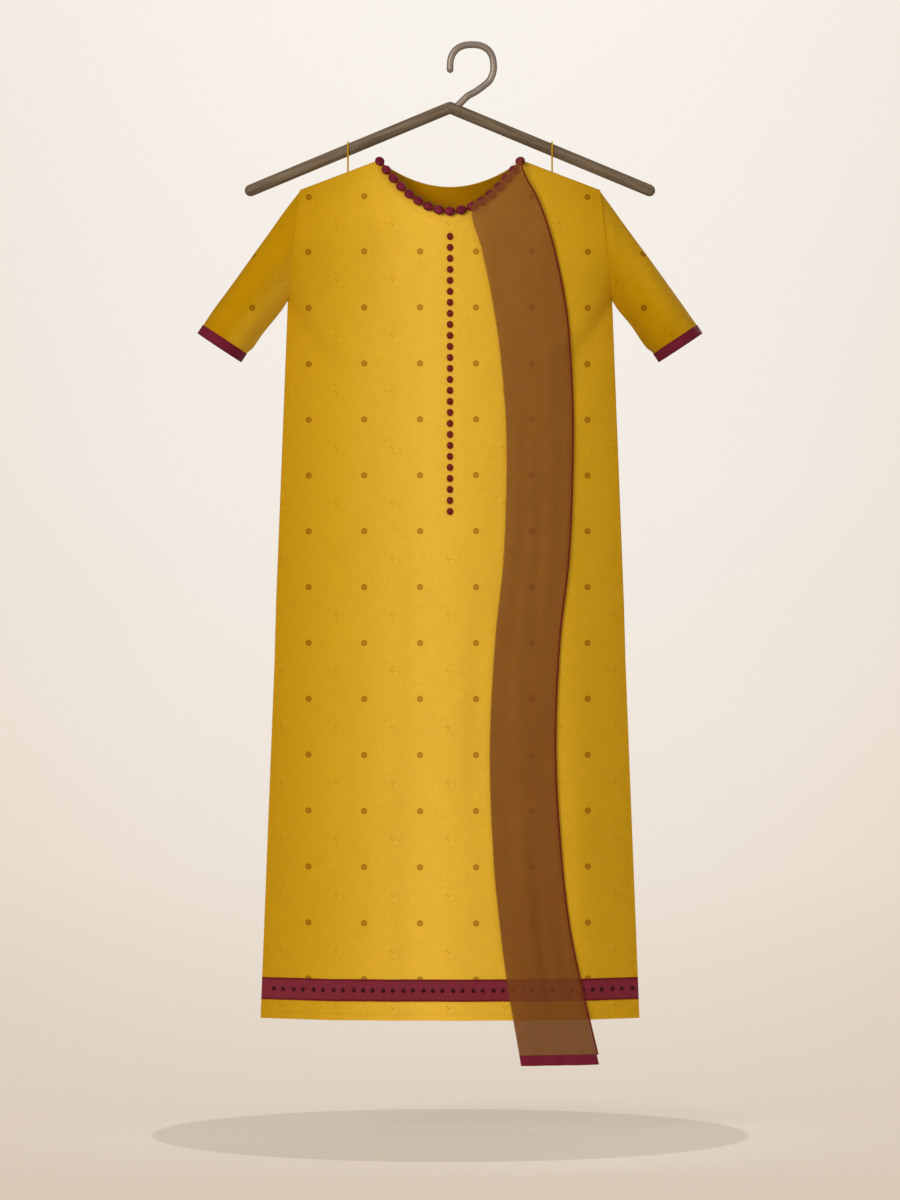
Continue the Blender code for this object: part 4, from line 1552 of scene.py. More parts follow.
    def stitching(self) -> None:
        """The rows that hold the tapes, the hem, the slits and the neck facings."""
        form, maroon = self.form, (MAROON_THREAD, "maroon_trim")
        top, bottom = (form.length - h for h in self.hem_band)
        on_tape = self.tape + self.tape_stand + self.stitch_lift
        for face in Face:
            for mark, drop, lift, thread in (
                    ("band_top", top + self.tape_margin, on_tape, maroon),
                    ("band_bottom", bottom - self.tape_margin, on_tape, maroon),
                    ("hem", form.length - self.hem_margin, self.stitch_lift, ())):
                reach = form.half_width(drop) - self.side_margin
                spots = [(x, drop) for x in spaced(-reach, reach, self.line_steps)]
                self.sew(f"stitches_{mark}_{face.word}", self.on_cloth(face, spots, lift),
                         *thread)
            above, below = self.slit_ends
            for hand in Hand:
                spots = [(hand.value * (form.half_width(drop) - self.slit_margin), drop)
                         for drop in spaced(form.slit_drop - above, form.length - below, 160)]
                self.sew(f"stitches_slit_{hand.word}_{face.word}",
                         self.on_cloth(face, spots, self.stitch_lift))
            inside, below = self.neck_margin
            reach = form.neck_half_width - inside
            spots = [(x, form.top_at(x, face) + below) for x in spaced(-reach, reach, 120)]
            self.sew(f"stitches_neck_{face.word}", self.on_cloth(face, spots, self.stitch_lift))
        for hand in Hand:
            for mark, beyond in (("upper", self.tape_margin),
                                 ("lower", self.cuff_band - self.tape_margin)):
                half = self.sleeve_columns
                lift = self.cuff_lift + self.stitch_lift
                ring = [form.sleeve_point(hand, 1.0, math.pi * k / half, lift, beyond)
                        for k in range(2 * half + 1)]
                middle = (ring[0] + ring[half]) / 2
                line = Route(ring, [(p - middle).normalized() for p in ring])
                self.sew(f"stitches_cuff_{mark}_{hand.word}", line, *maroon)

    def hem_beads(self, face: Face) -> None:
        """The row of small dark beads along the middle of the hem tape."""
        form, steps, pitch = self.form, self.line_steps, self.hem_bead_pitch
        wide, tall, thick = self.hem_bead
        item = started(f"hem_beads_{face.word}", bpy.ops.mesh.primitive_uv_sphere_add,
                       segments=12, ring_count=6)
        with editing(item, whole=True):
            bpy.ops.mesh.bisect(plane_co=(0, 0, self.hem_bead_foot), plane_no=(0, 0, 1),
                                clear_inner=True, use_fill=True)
            bpy.ops.mesh.select_all(action="SELECT")
            bpy.ops.transform.resize(value=(wide / 2, tall / 2, thick),
                                     center_override=(0, 0, 0))
        shade_smooth(item, 50)
        drop = form.length - sum(self.hem_band) / 2
        reach = form.half_width(drop) - self.hem_bead_edge
        line = self.on_cloth(face, [(x, drop) for x in spaced(-reach, reach, steps)],
                             self.tape + self.hem_bead_lift)
        each_side = int((reach - self.hem_bead_shift) / pitch)
        xs = [self.hem_bead_shift + k * pitch for k in range(-each_side, each_side + 1)]
        spots = [line.marks[round((1 + x / reach) * steps / 2)] for x in xs]
        dress(laid_along(item, line, pitch, spots=spots), HEM_BEAD_GLOSS, "maroon_bead")


# ---- beads and buttons ----


@dataclass
class NeckBeads:
    """The row of oval beads along the front neckline, on one thread."""

    form: KameezForm
    count: int = 17
    half_length: float = 0.0067
    half_height: float = 0.0059
    half_depth: float = 0.0037
    thread: float = 0.0006
    thread_steps: int = 70
    end_gap: float = 0.002
    stand: float = 0.0005
    # a bead's drilled ends: where they start, their chamfer, their narrowing and their depth
    drilled: tuple[float, ...] = (0.97, 0.05, 0.8, 0.22)

    def line(self, count: int) -> list[tuple[Vector, Vector]]:
        """Even places along the neckline, each with the way out of the cloth.

        Args:
            count: how many places.

        Returns:
            The places and the ways out.
        """
        form = self.form
        reach = form.neck_half_width - self.end_gap
        neck = [(x, form.top_at(x, Face.FRONT)) for x in spaced(-reach, reach, 60)]
        made = []
        for x, drop in even_steps(neck, count):
            out = form.outward(x, drop, Face.FRONT)
            made.append((form.on(x, drop, Face.FRONT) + out * (self.half_depth + self.stand),
                         out))
        return made

    def bead(self) -> Item:
        """One bead, drilled along X."""
        start, chamfer, narrowed, deep = self.drilled
        item = started("bead_pattern", bpy.ops.mesh.primitive_uv_sphere_add, segments=20,
                       ring_count=12)
        with editing(item):
            bpy.ops.mesh.select_mode(type="FACE")
            bpy.ops.mesh.select_all(action="DESELECT")
        for side in (-1, 1):
            pick_faces(item, lambda face: face.center.z * side > start)
            with editing(item):
                bpy.ops.mesh.inset(thickness=chamfer)
                bpy.ops.transform.resize(value=(narrowed, narrowed, 1.0))
                bpy.ops.mesh.extrude_region_move(
                    TRANSFORM_OT_translate={"value": (0, 0, -side * deep)})
        shade_smooth(item, 50)
        return item

    def build(self) -> None:
        """String the beads."""
        pattern = self.bead()
        spots = self.line(self.count * 2 - 1)
        beads = []
        for k in range(self.count):
            middle, out = spots[2 * k]
            ahead = spots[min(2 * k + 1, len(spots) - 1)][0]
            behind = spots[max(2 * k - 1, 0)][0]
            along = (ahead - behind).normalized()
            up = along.cross(out).normalized()
            bead = copy_of(pattern, f"bead_{k + 1:02d}")
            beads.append(carried(bead, lambda p: middle + along * p.z * self.half_length
                                 + up * p.y * self.half_height + out * p.x * self.half_depth))
        bpy.data.objects.remove(pattern, do_unlink=True)
        thread = cord_along("bead_thread", [p for p, _ in self.line(self.thread_steps)],
                            self.thread, resolution=1)
        row = joined("neck_bead_row", [*beads, thread])
        dress(row, BEAD_GLOSS, "maroon_bead", "neck_beads")


@dataclass
class ButtonRow:
    """Small domed buttons down the centre front."""

    form: KameezForm
    count: int = 26
    first: float = 0.0969
    pitch: float = 0.01373
    size: Triple = (0.0078, 0.003, 0.0089)
    lift: float = 0.0003
    # shares of a button's width, and its rises as shares of its depth
    edge: float = 0.45
    rim: Pair = (0.07, 0.03)
    dip: float = -0.12
    dome: tuple[Pair, ...] = ((0.06, 0.2), (0.1, 0.2), (0.12, 0.11))
    rounding: float = 0.03

    def button(self) -> Item:
        """One button facing +Z, with a rim round a dome."""
        item = started("button_pattern", bpy.ops.mesh.primitive_cylinder_add, vertices=28,
                       radius=0.5, depth=self.edge, location=(0, 0, self.edge / 2))
        pick_faces(item, lambda face: face.normal.z > FACING)
        with editing(item):
            for step in self.rim:
                bpy.ops.mesh.inset(thickness=step)
            bpy.ops.transform.translate(value=(0, 0, self.dip))
            for step, rise in self.dome:
                bpy.ops.mesh.inset(thickness=step)
                bpy.ops.transform.translate(value=(0, 0, rise))
        apply(item, "BEVEL", width=self.rounding, segments=2, angle_limit=math.radians(40))
        shade_smooth(item, 38)
        return item

    def build(self) -> None:
        """Sew the buttons on."""
        pattern = self.button()
        wide, thick, tall = self.size
        across = Vector((1, 0, 0))
        for k in range(self.count):
            drop = self.first + self.pitch * k
            base = self.form.on(0.0, drop, Face.FRONT, lift=self.lift)
            out = self.form.outward(0.0, drop, Face.FRONT)
            up = across.cross(out).normalized()
            button = copy_of(pattern, f"sewn_button_{k + 1:02d}")
            carried(button, lambda p: base + across * p.x * wide + up * p.y * tall
                    + out * p.z * thick)
            dress(button, BUTTON_GLOSS, "maroon_button", f"button_{k + 1:02d}")
        bpy.data.objects.remove(pattern, do_unlink=True)


# ---- the dupatta ----


@dataclass(frozen=True)
class Layer:
    """How one layer of the front fall lies.

    Its side edges lie inset inside the fall's, as a share; it stands off the kameez by its
    lift, turns closer to the beads by a share under, and takes a share of the pleats.
    """

    inset: float = 0.0
    lift: float = 0.0026
    under: float = 0.0
    pleated: float = 1.0


@dataclass
class Dupatta:
    """The long sheer cloth folded lengthwise over the neckline."""

    form: KameezForm
    top_line: Pair = (0.0262, 0.0895)
    inner_top_line: Pair = (0.028, 0.073)
    end_drop: float = 1.1181
    band: float = 0.0125
    band_wall: float = 0.0022
    band_lap: float = 0.0005
    inner_end_drop: float = 0.985
    spread_drop: float = 0.05
    first_row: float = 0.0085
    inner_first_row: float = 0.02
    # above 1, the rows lie closer together towards the top
    row_power: float = 1.1
    columns: int = 44
    rows: int = 210
    inner_rows: int = 120
    turn_rows: int = 16
    tape_rows: int = 4
    wall: float = 0.0004
    flat_size: Pair = (0.1, 1.15)
    piping_radius: float = 0.00135
    piping_out: float = 0.8
    piping_points: int = 160
    # where round the turn the cord starts, how thin, and how much it gains at each point
    piping_start: Triple = (0.97, 0.55, 0.15)
    outer: Layer = Layer()
    under: Layer = Layer(inset=0.01, lift=0.0015, under=0.06, pleated=0.35)
    on_band: Layer = Layer(lift=0.004)
    on_edge: Layer = Layer(lift=0.0022, under=-0.02)
    # how far it stands off the beads, from how far below the neck edge, and over what drop
    off_beads: Triple = (0.0042, 0.02, 0.12)
    # the pleats: how many, the drop that they grow over, the edge share that they fade over,
    # and the heights of the pleats and of the ripples on them
    pleat_count: float = 3.5
    pleat_start: float = 0.15
    pleat_edge: float = 0.14
    pleat_heights: Pair = (0.001, 0.0005)
    # how they swing: by a wave down the fall and its pitch, and by noise
    pleat_swing: Triple = (0.22, 5.1, 0.5)
    ripple_seed: float = 7.7
    # how much the inner layer takes of them, and how far it hangs behind the panel's face
    inner_pleats: float = 0.6
    inner_gap: float = 0.003
    # the cloth's body inside the turn, over the beads and at the hem, and where it changes
    body: Triple = (0.05, 0.74, 1.0)
    body_turn: Pair = (0.74, 0.13)
    # the painted shade at the top of the front fall, how it deepens down it, and the inner layer's
    top_shade: float = 0.56
    shade_power: float = 1.5
    inner_shade: float = 0.5
    inner_row: float = 0.01
    # drop below the neck points, then the fall's left and right edge
    edges: tuple[Triple, ...] = (
        (0.008, 0.0245, 0.09), (0.063, 0.0264, 0.1136), (0.115, 0.0396, 0.1294),
        (0.185, 0.0539, 0.1435), (0.254, 0.0635, 0.15), (0.349, 0.07, 0.1526),
        (0.493, 0.0668, 0.1477), (0.603, 0.0558, 0.1356), (0.74, 0.0492, 0.1304),
        (0.876, 0.054, 0.138), (0.957, 0.0618, 0.1475), (1.022, 0.0701, 0.1606),
        (1.131, 0.0885, 0.1862))
    # out from the panel's face, above the neck edge
    turn_over: tuple[Pair, ...] = (
        (-0.0004, 0.0062), (0.004, 0.0066), (0.0078, 0.005), (0.0092, 0.001),
        (0.0092, -0.005))
    turn_in: tuple[Pair, ...] = (
        (0.0004, 0.0062), (0.003, 0.0056), (0.0042, 0.003), (0.0044, -0.002),
        (0.0042, -0.008))

    def fall_x(self, share: float, drop: float, top_line: Pair) -> float:
        """Place across a fall, from its line on the neck edge to its full width.

        Args:
            share: from its left edge, 0, to its right, 1.
            drop: place down.
            top_line: its left and right edge on the neck edge.

        Returns:
            The place, from the kameez's middle.
        """
        left, right = curve_through(self.edges, drop)
        top = blend(*top_line, share)
        apart = max(1 - (drop - self.form.top_at(top, Face.FRONT)) / self.spread_drop, 0.0)
        return blend(top, blend(left, right, share), 1 - min(apart, 1.0) ** 2)

    def turned(self, x_top: float, out_by: float, above: float) -> Vector:
        """A point near the neck edge.

        Args:
            x_top: place across, on the neck edge.
            out_by: how far out from the panel's face.
            above: how far above the neck edge, or below it where negative.

        Returns:
            The point in the frame.
        """
        form = self.form
        drop = form.top_at(x_top, Face.FRONT)
        if above < 0:
            drop -= above
            return (form.on(x_top, drop, Face.FRONT)
                    + form.outward(x_top, drop, Face.FRONT) * out_by)
        out = form.outward(x_top, drop, Face.FRONT)
        slope = 2 * form.front_neck_depth * x_top / form.neck_half_width**2
        edge = Vector((1, 0, slope))
        up = (edge - out * edge.dot(out)).normalized().cross(-out)
        return form.on(x_top, drop, Face.FRONT) + out * out_by + up * above

    def pleats(self, share: float, drop: float) -> float:
        """Soft uneven lengthwise pleats, none at the neck edge.

        Args:
            share: from the fall's left edge, 0, to its right, 1.
            drop: place down.

        Returns:
            How far the cloth stands out.
        """
        grown = smooth((drop - self.form.front_neck_depth) / self.pleat_start)
        waver, pitch, wander = self.pleat_swing
        swing = (waver * math.sin(pitch * drop)
                 + wander * noise.noise(Vector((share * 2, drop * 6, 4))))
        wave = 1 - math.cos(2 * math.pi * (self.pleat_count * share
                                           + swing * share * (1 - share)))
        ripple = noise.noise(Vector((share * 9, drop * 7, self.ripple_seed)))
        high, low = self.pleat_heights
        return grown * smooth((1 - share) / self.pleat_edge) * (high * wave + low * ripple)

    def fall_point(self, share: float, drop: float, layer: Layer) -> Vector:
        """A point on a layer below the turn, by its share across and its drop."""
        form = self.form
        x = self.fall_x(share, drop, self.top_line)
        below = drop - form.top_at(blend(*self.top_line, share), Face.FRONT)
        off, start, reach = self.off_beads
        stand = form.depth(x, min(drop, form.length), Face.FRONT)
        stand += (layer.lift + off * (1 - smooth((below - start) / reach))
                  + layer.pleated * self.pleats(share, drop))
        return form.world(x, -stand, drop)

    def front_drop(self, x_top: float, down: float) -> float:
        """The drop of a place down the front fall, from its turn, 0, to its end, 1."""
        first = self.form.top_at(x_top, Face.FRONT) + self.first_row
        return blend(first, self.end_drop, down**self.row_power)

    def layer_point(self, share: float, turn: float, down: float, layer: Layer) -> Vector:
        """A point on a layer of the front fall.

        Args:
            share: from its left edge, 0, to its right, 1.
            turn: round the turn over the beads, from 0 inside to 1.
            down: down the fall from the turn, 0, to the end, 1.
            layer: the layer.

        Returns:
            The point in the frame.
        """
        x_top = blend(*self.top_line, share)
        if turn < 1:
            out_by, above = along_table(self.turn_over, turn)
            return self.turned(x_top, out_by * (1 - layer.under),
                               above * (1 - max(layer.under, 0)) if above > 0 else above)
        return self.fall_point(share, self.front_drop(x_top, down), layer)

    def veil(self, turn: float, drop: float) -> float:
        """How much of its body the cloth keeps.

        Args:
            turn: round the turn over the beads, from 0 inside to 1.
            drop: place down.

        Returns:
            The share: little where it is pulled over the beads' upper parts, more down the
            kameez. The chiffon's own finish keeps more below the hem.
        """
        inside, over, low = self.body
        start, span = self.body_turn
        if turn < 1:
            return blend(inside, over, smooth((turn - start) / span))
        return blend(over, low, min(drop / self.form.length, 1.0))

    def front_layer(self, name: str, layer: Layer) -> Item:
        """One layer of the front fall."""
        wide, long = self.flat_size
        every_row = self.turn_rows + self.rows

        def steps(j: int) -> Pair:
            """A row's place round the turn and down the fall."""
            return j / self.turn_rows, max(j - self.turn_rows, 0) / self.rows

        def spot(i: int, j: int) -> Vector:
            """Place in the frame."""
            share = blend(layer.inset, 1 - layer.inset, i / self.columns)
            return self.layer_point(share, *steps(j), layer)

        def veil(i: int, j: int) -> float:
            """How much of its body the cloth keeps."""
            turn, down = steps(j)
            return self.veil(turn, self.front_drop(blend(*self.top_line, i / self.columns),
                                                   down))

        # the fall takes a painted shade that deepens downward
        item = sheet_of(
            name, self.columns, every_row, spot,
            lambda i, j: (wide * i / self.columns, -long * j / every_row),
            shade=lambda i, j: blend(self.top_shade, 1.0, steps(j)[1] ** self.shade_power),
            veil=veil)
        give_wall(item, self.wall, inward=False)
        return dress(item, CHIFFON, "brown_sheer")

    def inner_layer(self) -> Item:
        """The other half of the cloth, hanging inside behind the front panel."""
        form, rows = self.form, self.inner_rows

        def spot(i: int, j: int) -> Vector:
            """Place in the frame."""
            share = i / self.columns
            x_top = blend(*self.inner_top_line, share)
            turn = j / self.turn_rows
            if turn <= 1:
                back, above = along_table(self.turn_in, turn)
                return self.turned(x_top, -back, above)
            first = form.top_at(x_top, Face.FRONT) + self.inner_first_row
            down = (j - self.turn_rows - 1) / (rows - 1)
            drop = blend(first, self.inner_end_drop, down**self.row_power)
            x = self.fall_x(share, drop, self.inner_top_line)
            stand = (form.depth(x, drop, Face.FRONT) - self.inner_gap
                     - self.inner_pleats * self.pleats(share, drop))
            return form.world(x, -stand, drop)

        # the inner layer takes one even painted shade
        item = sheet_of("dupatta_inner_cloth", self.columns, self.turn_rows + rows, spot,
                        lambda i, j: (self.flat_size[0] * i / self.columns,
                                      -self.inner_row * j),
                        shade=lambda i, j: self.inner_shade,
                        veil=lambda i, j: self.veil(j / self.turn_rows, 0.0))
        give_wall(item, self.wall)
        return dress(item, CHIFFON, "brown_sheer", "dupatta_inner_fall")

    def end_tape(self) -> Item:
        """The maroon tape across the front fall's end."""
        rows, lap = self.tape_rows, self.band_lap

        def spot(i: int, j: int) -> Vector:
            """Place in the frame."""
            drop = self.end_drop - lap + (self.band + lap) * j / rows
            return self.fall_point(i / self.columns, drop, self.on_band)

        item = sheet_of("dupatta_end_tape", self.columns, rows, spot,
                        lambda i, j: (self.flat_size[0] * i / self.columns,
                                      self.band * (0.5 - j / rows)))
        give_wall(item, self.band_wall)
        return dress(item, DUPATTA_TAPE, "maroon_trim", "dupatta_end_band")

    def selvedge(self) -> Item:
        """The fine dark cord on the fall's right edge."""
        slope = 2 * self.form.front_neck_depth / self.form.neck_half_width
        up = Vector((1, 0, slope)).normalized()
        outside, out_by = Vector((1, 0, 0)), self.piping_radius * self.piping_out
        start, thin, gain = self.piping_start
        points = [self.layer_point(1.0, start, 0.0, self.on_edge) + up * out_by]
        for k in range(self.piping_points):
            side = up.lerp(outside, smooth(k / 12)).normalized()
            down = k / (self.piping_points - 1)
            points.append(self.layer_point(1.0, 1.0, down, self.on_edge) + side * out_by)
        radii = [min(thin + gain * k, 1.0) for k in range(len(points))]
        item = cord_along("dupatta_selvedge_cord", points, self.piping_radius, radii=radii)
        return dress(item, SELVEDGE_CORD, "maroon_trim", "dupatta_selvedge")

    def build(self) -> None:
        """Drape the dupatta."""
        outer = self.front_layer("dupatta_outer_layer", self.outer)
        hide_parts("dupatta_front_fall")
        under = self.front_layer("dupatta_under_layer", self.under)
        inner = self.inner_layer()
        tape, cord = self.end_tape(), self.selvedge()


# ---- the hanger ----


@dataclass
class Hanger:
    """A bent wooden bar, its wire hook and the two cords that hold the kameez."""

    form: KameezForm
    bar_radius: float = 0.0075
    half_span: float = 0.25
    apex_z: float = -0.0746
    rise: float = 0.1038
    hook_radius: float = 0.0044
    # the bend's centreline: half its width, its rise, and its power, 2 for a round one
    bend: Triple = (0.0273, 0.0274, 2.4)
    tip: Pair = (-0.0273, -0.0312)
    leg: tuple[Pair, ...] = (
        (0.0271, -0.0282), (0.0252, -0.0346), (0.0215, -0.0413), (0.0156, -0.0465),
        (0.0049, -0.0544), (-0.0051, -0.0601), (-0.0151, -0.0695), (-0.019, -0.0732))
    loop_x: float = 0.128
    loop_radius: float = 0.0012
    loop_gap: float = 0.0003
    loop_foot: Pair = (0.0012, 0.0006)
    loop_waist: float = 0.55
    loop_shade: float = 0.6
    # a ply's place off the cord's middle and its radius, as shares of the cord's
    ply: Pair = (0.45, 0.56)
    # how many of the cord's points one turn of its twist takes
    loop_points: int = 150
    twist_points: float = 9.0
    # the arms start a little off the bend, and their round ends stop short of a point
    bend_gap: float = 0.004
    end_turn: float = 0.985
    # how far apart the two arms lie in the wood
    arms_apart: float = 0.3
    hook_points: int = 110
    tip_share: float = 0.03

    def bar(self) -> None:
        """The wooden bar, with round ends and a crisp bend at its middle."""
        length = math.hypot(self.half_span, self.rise)
        apex = Vector((self.form.centre_x, 0, self.apex_z))
        halves = []
        for hand in Hand:
            out = Vector((hand.value * self.half_span, 0, -self.rise)) / length
            half = [(apex + out * length * (self.bend_gap + (1 - self.bend_gap) * k / 10), 1.0)
                    for k in range(11)]
            for k in range(1, 9):
                turn = math.pi / 2 * k / 8 * self.end_turn
                half.append((apex + out * (length + self.bar_radius * math.sin(turn)),
                             math.cos(turn)))
            halves.append(half)
        left, right = halves
        points, radii = zip(*reversed(left), (apex, 1.0), *right)
        item = cord_along("wooden_bar", points, self.bar_radius, resolution=10, radii=radii)
        self.lay_grain(item, length)
        dress(item, DARK_WOOD, "dark_wood", "hanger_arm_left", "hanger_arm_right")

    def lay_grain(self, item: Item, length: float) -> None:
        """Lay the grain's map along each arm."""
        along_arm = Vector((self.half_span, 0, -self.rise)) / length
        above_arm = Vector((-along_arm.z, 0, along_arm.x))

        def at(_: int, spot: Vector) -> Pair:
            """Place along the arm and round it; the two arms lie apart."""
            x = spot.x - self.form.centre_x
            off = Vector((abs(x), 0, spot.z - self.apex_z))
            around = self.bar_radius * math.atan2(spot.y, off.dot(above_arm))
            return math.copysign(off.dot(along_arm) + self.arms_apart, x), around

        lay_map(item, at)

    def hook_line(self, count: int) -> list[Vector]:
        """The hook's centreline from its tip to its end in the wood."""
        half_width, rise, power = self.bend
        turns = 14
        line = [self.tip]
        for i in range(turns + 1):
            angle = math.pi * (1 - i / turns)
            across, up = (math.copysign(abs(value) ** (2 / power), value)
                          for value in (math.cos(angle), max(math.sin(angle), 0.0)))
            line.append((half_width * across, self.hook_radius + rise * (up - 1)))
        return [Vector((x, 0, z)) for x, z in even_steps([*line, *self.leg], count)]

    def hook(self) -> None:
        """The wire hook, with a rounded tip."""
        points = self.hook_line(self.hook_points)
        step = (points[1] - points[0]).length
        radii = [math.sqrt(max(1 - (1 - min(k * step / self.hook_radius, 1.0)) ** 2,
                               self.tip_share)) for k in range(len(points))]
        item = cord_along("wire_hook", points, self.hook_radius, resolution=7, radii=radii)
        lay_map(item, lambda _, spot: (
            min(range(len(points)), key=lambda k: (points[k] - spot).length) * step, spot.y))
        dress(item, HOOK_WIRE, "hook_metal", "hanger_hook")

    def loop_line(self) -> list[Vector]:
        """A hanging cord's centreline, as places along Y and Z."""
        form = self.form
        slope = self.rise / self.half_span
        reach = self.bar_radius + self.loop_radius + self.loop_gap
        over = reach * math.sqrt(1 + slope**2)
        bar_z = self.apex_z - self.rise * self.loop_x / self.half_span
        seam_z = form.neck_z - form.shoulder_at(self.loop_x) + self.loop_foot[1]
        middle_z = blend(seam_z, bar_z, 0.5)
        foot, waist = self.loop_foot[0], reach * self.loop_waist
        top = [(-reach * math.cos(turn), bar_z + over * math.sin(turn))
               for turn in (math.pi * k / 12 for k in range(13))]
        return even_steps([(-foot, seam_z), (-waist, middle_z), *top, (waist, middle_z),
                           (foot, seam_z)], self.loop_points)

    def loop(self, hand: Hand) -> None:
        """A fine two-ply cord sewn into a shoulder seam and looped over the bar."""
        x = self.form.centre_x + hand.value * self.loop_x
        line = self.loop_line()
        off_middle, thick = self.ply
        plies = []
        for ply in (0, 1):
            points = []
            for k, spot in enumerate(line):
                ahead = line[min(k + 1, len(line) - 1)] - line[max(k - 1, 0)]
                side = Vector((0, -ahead.y, ahead.x)).normalized()
                turn = 2 * math.pi * (k / self.twist_points) + math.pi * ply
                off = Vector((1, 0, 0)) * math.cos(turn) + side * math.sin(turn)
                points.append(Vector((x, spot.x, spot.y)) + off * self.loop_radius * off_middle)
            plies.append(cord_along(f"ply_{ply}", points, self.loop_radius * thick,
                                    resolution=1))
        item = joined(f"hanging_cord_{hand.word}", plies)
        # the cords take the plain cotton's colour at one painted shade
        marked(item, "shade", repeat(self.loop_shade))
        dress(item, PLAIN_COTTON, "gold_cotton", f"hanger_loop_{hand.word}")

    def build(self) -> None:
        """Make the hanger and its cords."""
        self.bar()
        self.hook()
        for hand in Hand:
            self.loop(hand)


# ---- the studio ----


@dataclass(frozen=True)
class SoftLight:
    """A square light: its place, its side and its power."""

    name: str
    place: Triple
    size: float
    power: float


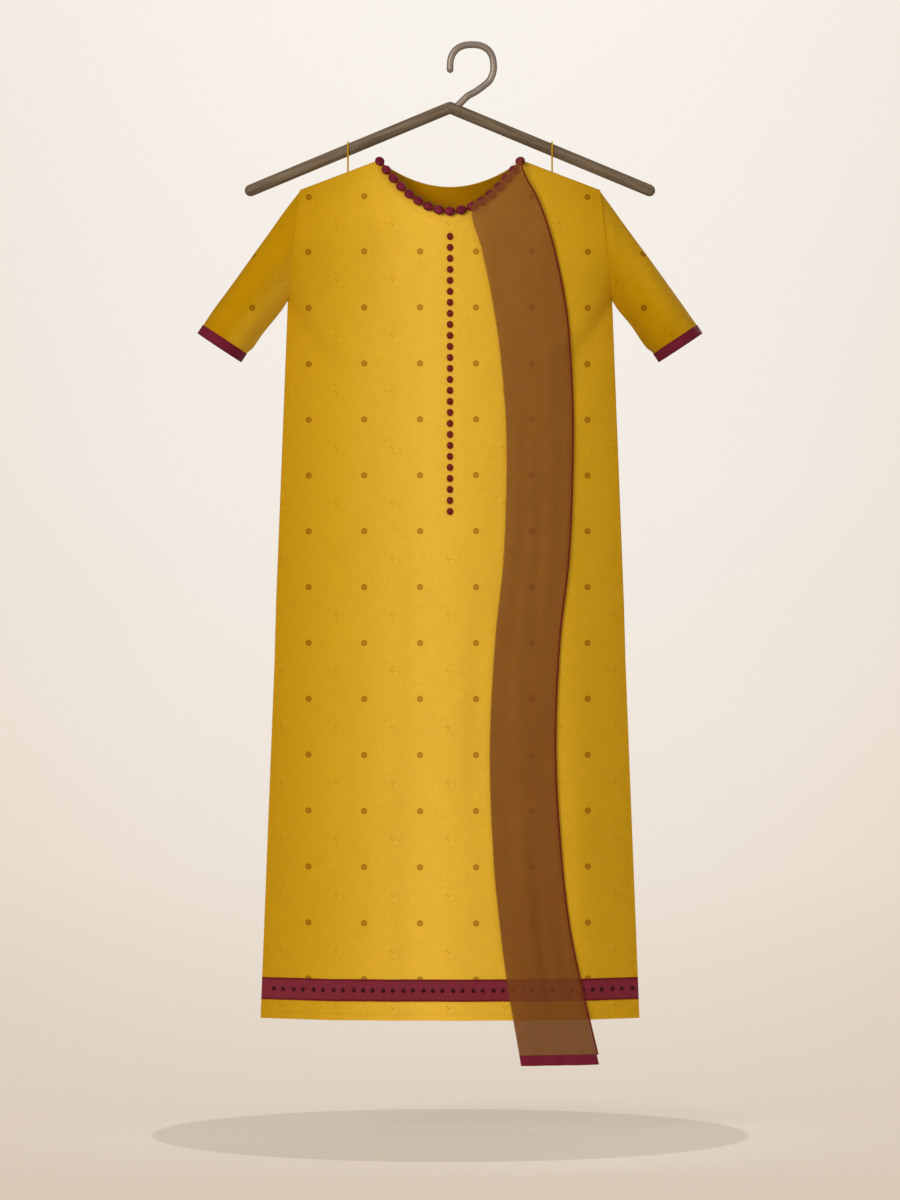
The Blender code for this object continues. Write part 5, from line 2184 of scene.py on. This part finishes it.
@dataclass
class Studio:
    """A pale floor with a painted glow and a painted pool of shadow, soft lights and the camera."""

    aim: Triple = (-0.0275, 0.0, -0.6921)
    distance: float = 7.525
    lens_reach: float = 7.5
    frame_height: float = 1.5
    floor_z: float = -1.3621
    floor_radius: float = 6.0
    floor_rough: float = 0.9
    floor_specular: float = 0.1
    # where the floor fades into the surround, from the middle of its pool of shade
    floor_fade: Pair = (0.38, 0.6)
    pool_radius: float = 0.375
    pool_edge: Pair = (1.006, 0.986)
    # the floor's colour, and the darker colour of its painted pool of shadow under the garment
    pale: Colour = (0.85, 0.74, 0.618)
    pool: Colour = (0.712, 0.613, 0.5)
    # the shares of the floor's light that it reflects and that it gives off as a painted glow
    floor_share: Pair = (0.3, 0.583)
    # height of the look over its length, then the surround's colour there
    surround: tuple[tuple[float, Colour], ...] = (
        (-0.11, (0.655, 0.54, 0.43)), (-0.075, (0.757, 0.664, 0.561)),
        (-0.045, (0.848, 0.766, 0.68)), (-0.02, (0.882, 0.806, 0.726)),
        (0.02, (0.899, 0.849, 0.782)), (0.06, (0.917, 0.869, 0.807)),
        (0.11, (0.955, 0.906, 0.846)))
    # how much of each colour the surround keeps at the picture's sides, and over what heights
    aside: Colour = (0.954, 0.925, 0.903)
    aside_reach: float = 0.075
    aside_rise: Pair = (-0.1, -0.055)
    # the light that the surround gives the piece
    ambient: Colour = (0.36, 0.352, 0.34)
    lights: tuple[SoftLight, ...] = (
        SoftLight("key", (-2.1, -3.1, 0.7), 1.6, 95.0),
        SoftLight("fill", (2.4, -3.1, -0.3), 2.2, 34.0),
        SoftLight("overhead", (0.0, -0.2, 2.6), 2.4, 12.0),
        SoftLight("behind", (1.8, 3.4, 0.6), 2.4, 60.0))

    def camera(self) -> None:
        """A long lens straight in front of the garment."""
        data = bpy.data.cameras.new("camera")
        data.sensor_width = 36.0
        data.lens = data.sensor_width * self.lens_reach / self.frame_height
        data.clip_end = 100.0
        item = new_object("camera", data)
        item.location = Vector(self.aim) - Vector((0, self.distance, 0))
        item.rotation_euler = (math.pi / 2, 0, 0)
        bpy.context.scene.camera = item

    def light(self, given: SoftLight) -> None:
        """A soft square light aimed at the garment."""
        data = bpy.data.lights.new(given.name, "AREA")
        data.size = given.size
        data.energy = given.power
        item = new_object(given.name, data)
        item.location = given.place
        item.rotation_mode = "QUATERNION"
        way = Vector(self.aim) - Vector(given.place)
        item.rotation_quaternion = way.to_track_quat("-Z", "Y")

    def backdrop(self) -> None:
        """A pale surround that lightens upward; it lights the piece evenly."""
        world = bpy.data.worlds.new("surround")
        bpy.context.scene.world = world
        world.use_nodes = True
        s = Shades(world.node_tree)
        way = s.node("ShaderNodeTexCoord").outputs["Generated"]
        sideways, _, rise = s.split(way)
        seen: object = self.surround[0][1]
        for (low, _), (high, colour) in zip(self.surround, self.surround[1:]):
            seen = s.mix(s.between(rise, low, high, kind="LINEAR"), seen, colour)
        out = s.math("DIVIDE", sideways, self.aside_reach)
        out = s.math("MULTIPLY", out, out, clamp=True)
        out = s.math("MULTIPLY", out, s.between(rise, *self.aside_rise))
        seen = s.mix(out, seen, s.mix(1.0, seen, self.aside, "MULTIPLY"))
        camera_ray = s.node("ShaderNodeLightPath").outputs["Is Camera Ray"]
        s.feed(world.node_tree.nodes["Background"].inputs["Color"],
               s.mix(camera_ray, self.ambient, seen))

    def floor(self) -> None:
        """A pale round floor that fades into the surround, with a painted glow and a soft painted
        pool of shadow.
        """
        item = started("studio_floor", bpy.ops.mesh.primitive_circle_add, vertices=96,
                       radius=self.floor_radius, fill_type="NGON")
        middle = Vector((self.aim[0], 0, self.floor_z))
        carried(item, lambda p: p + middle)
        made = bpy.data.materials.new("studio_floor")
        made.use_nodes = True
        s = Shades(made.node_tree)
        reach = s.length(s.vector("SUBTRACT", s.place(), middle))
        # the painted pool of shadow under the garment
        shade = s.between(reach, *(self.pool_radius * share for share in self.pool_edge))
        tone = s.mix(shade, self.pale, self.pool)
        reflected, glow = self.floor_share
        shader = made.node_tree.nodes["Principled BSDF"]
        s.fill(shader, {"Roughness": self.floor_rough, "Specular IOR Level": self.floor_specular,
                        "Base Color": toned(s, tone, -1.0, 1.0 - reflected),
                        "Emission Color": tone, "Emission Strength": glow,
                        "Alpha": s.between(reach, *self.floor_fade, 1.0, 0.0)})
        item.data.materials.append(made)

    def build(self) -> None:
        """Set up the studio."""
        bpy.context.scene.view_settings.view_transform = "Standard"
        self.camera()
        self.backdrop()
        self.floor()
        for given in self.lights:
            self.light(given)


# ---- the whole ----


def main() -> None:
    """Build the studio, then each piece in order."""
    logging.basicConfig(level=logging.INFO, format="%(message)s")
    form = KameezForm()
    Studio().build()
    Kameez(form).build()
    NeckBeads(form).build()
    ButtonRow(form).build()
    Dupatta(form).build()
    Hanger(form).build()


if __name__ == "__main__":
    main()
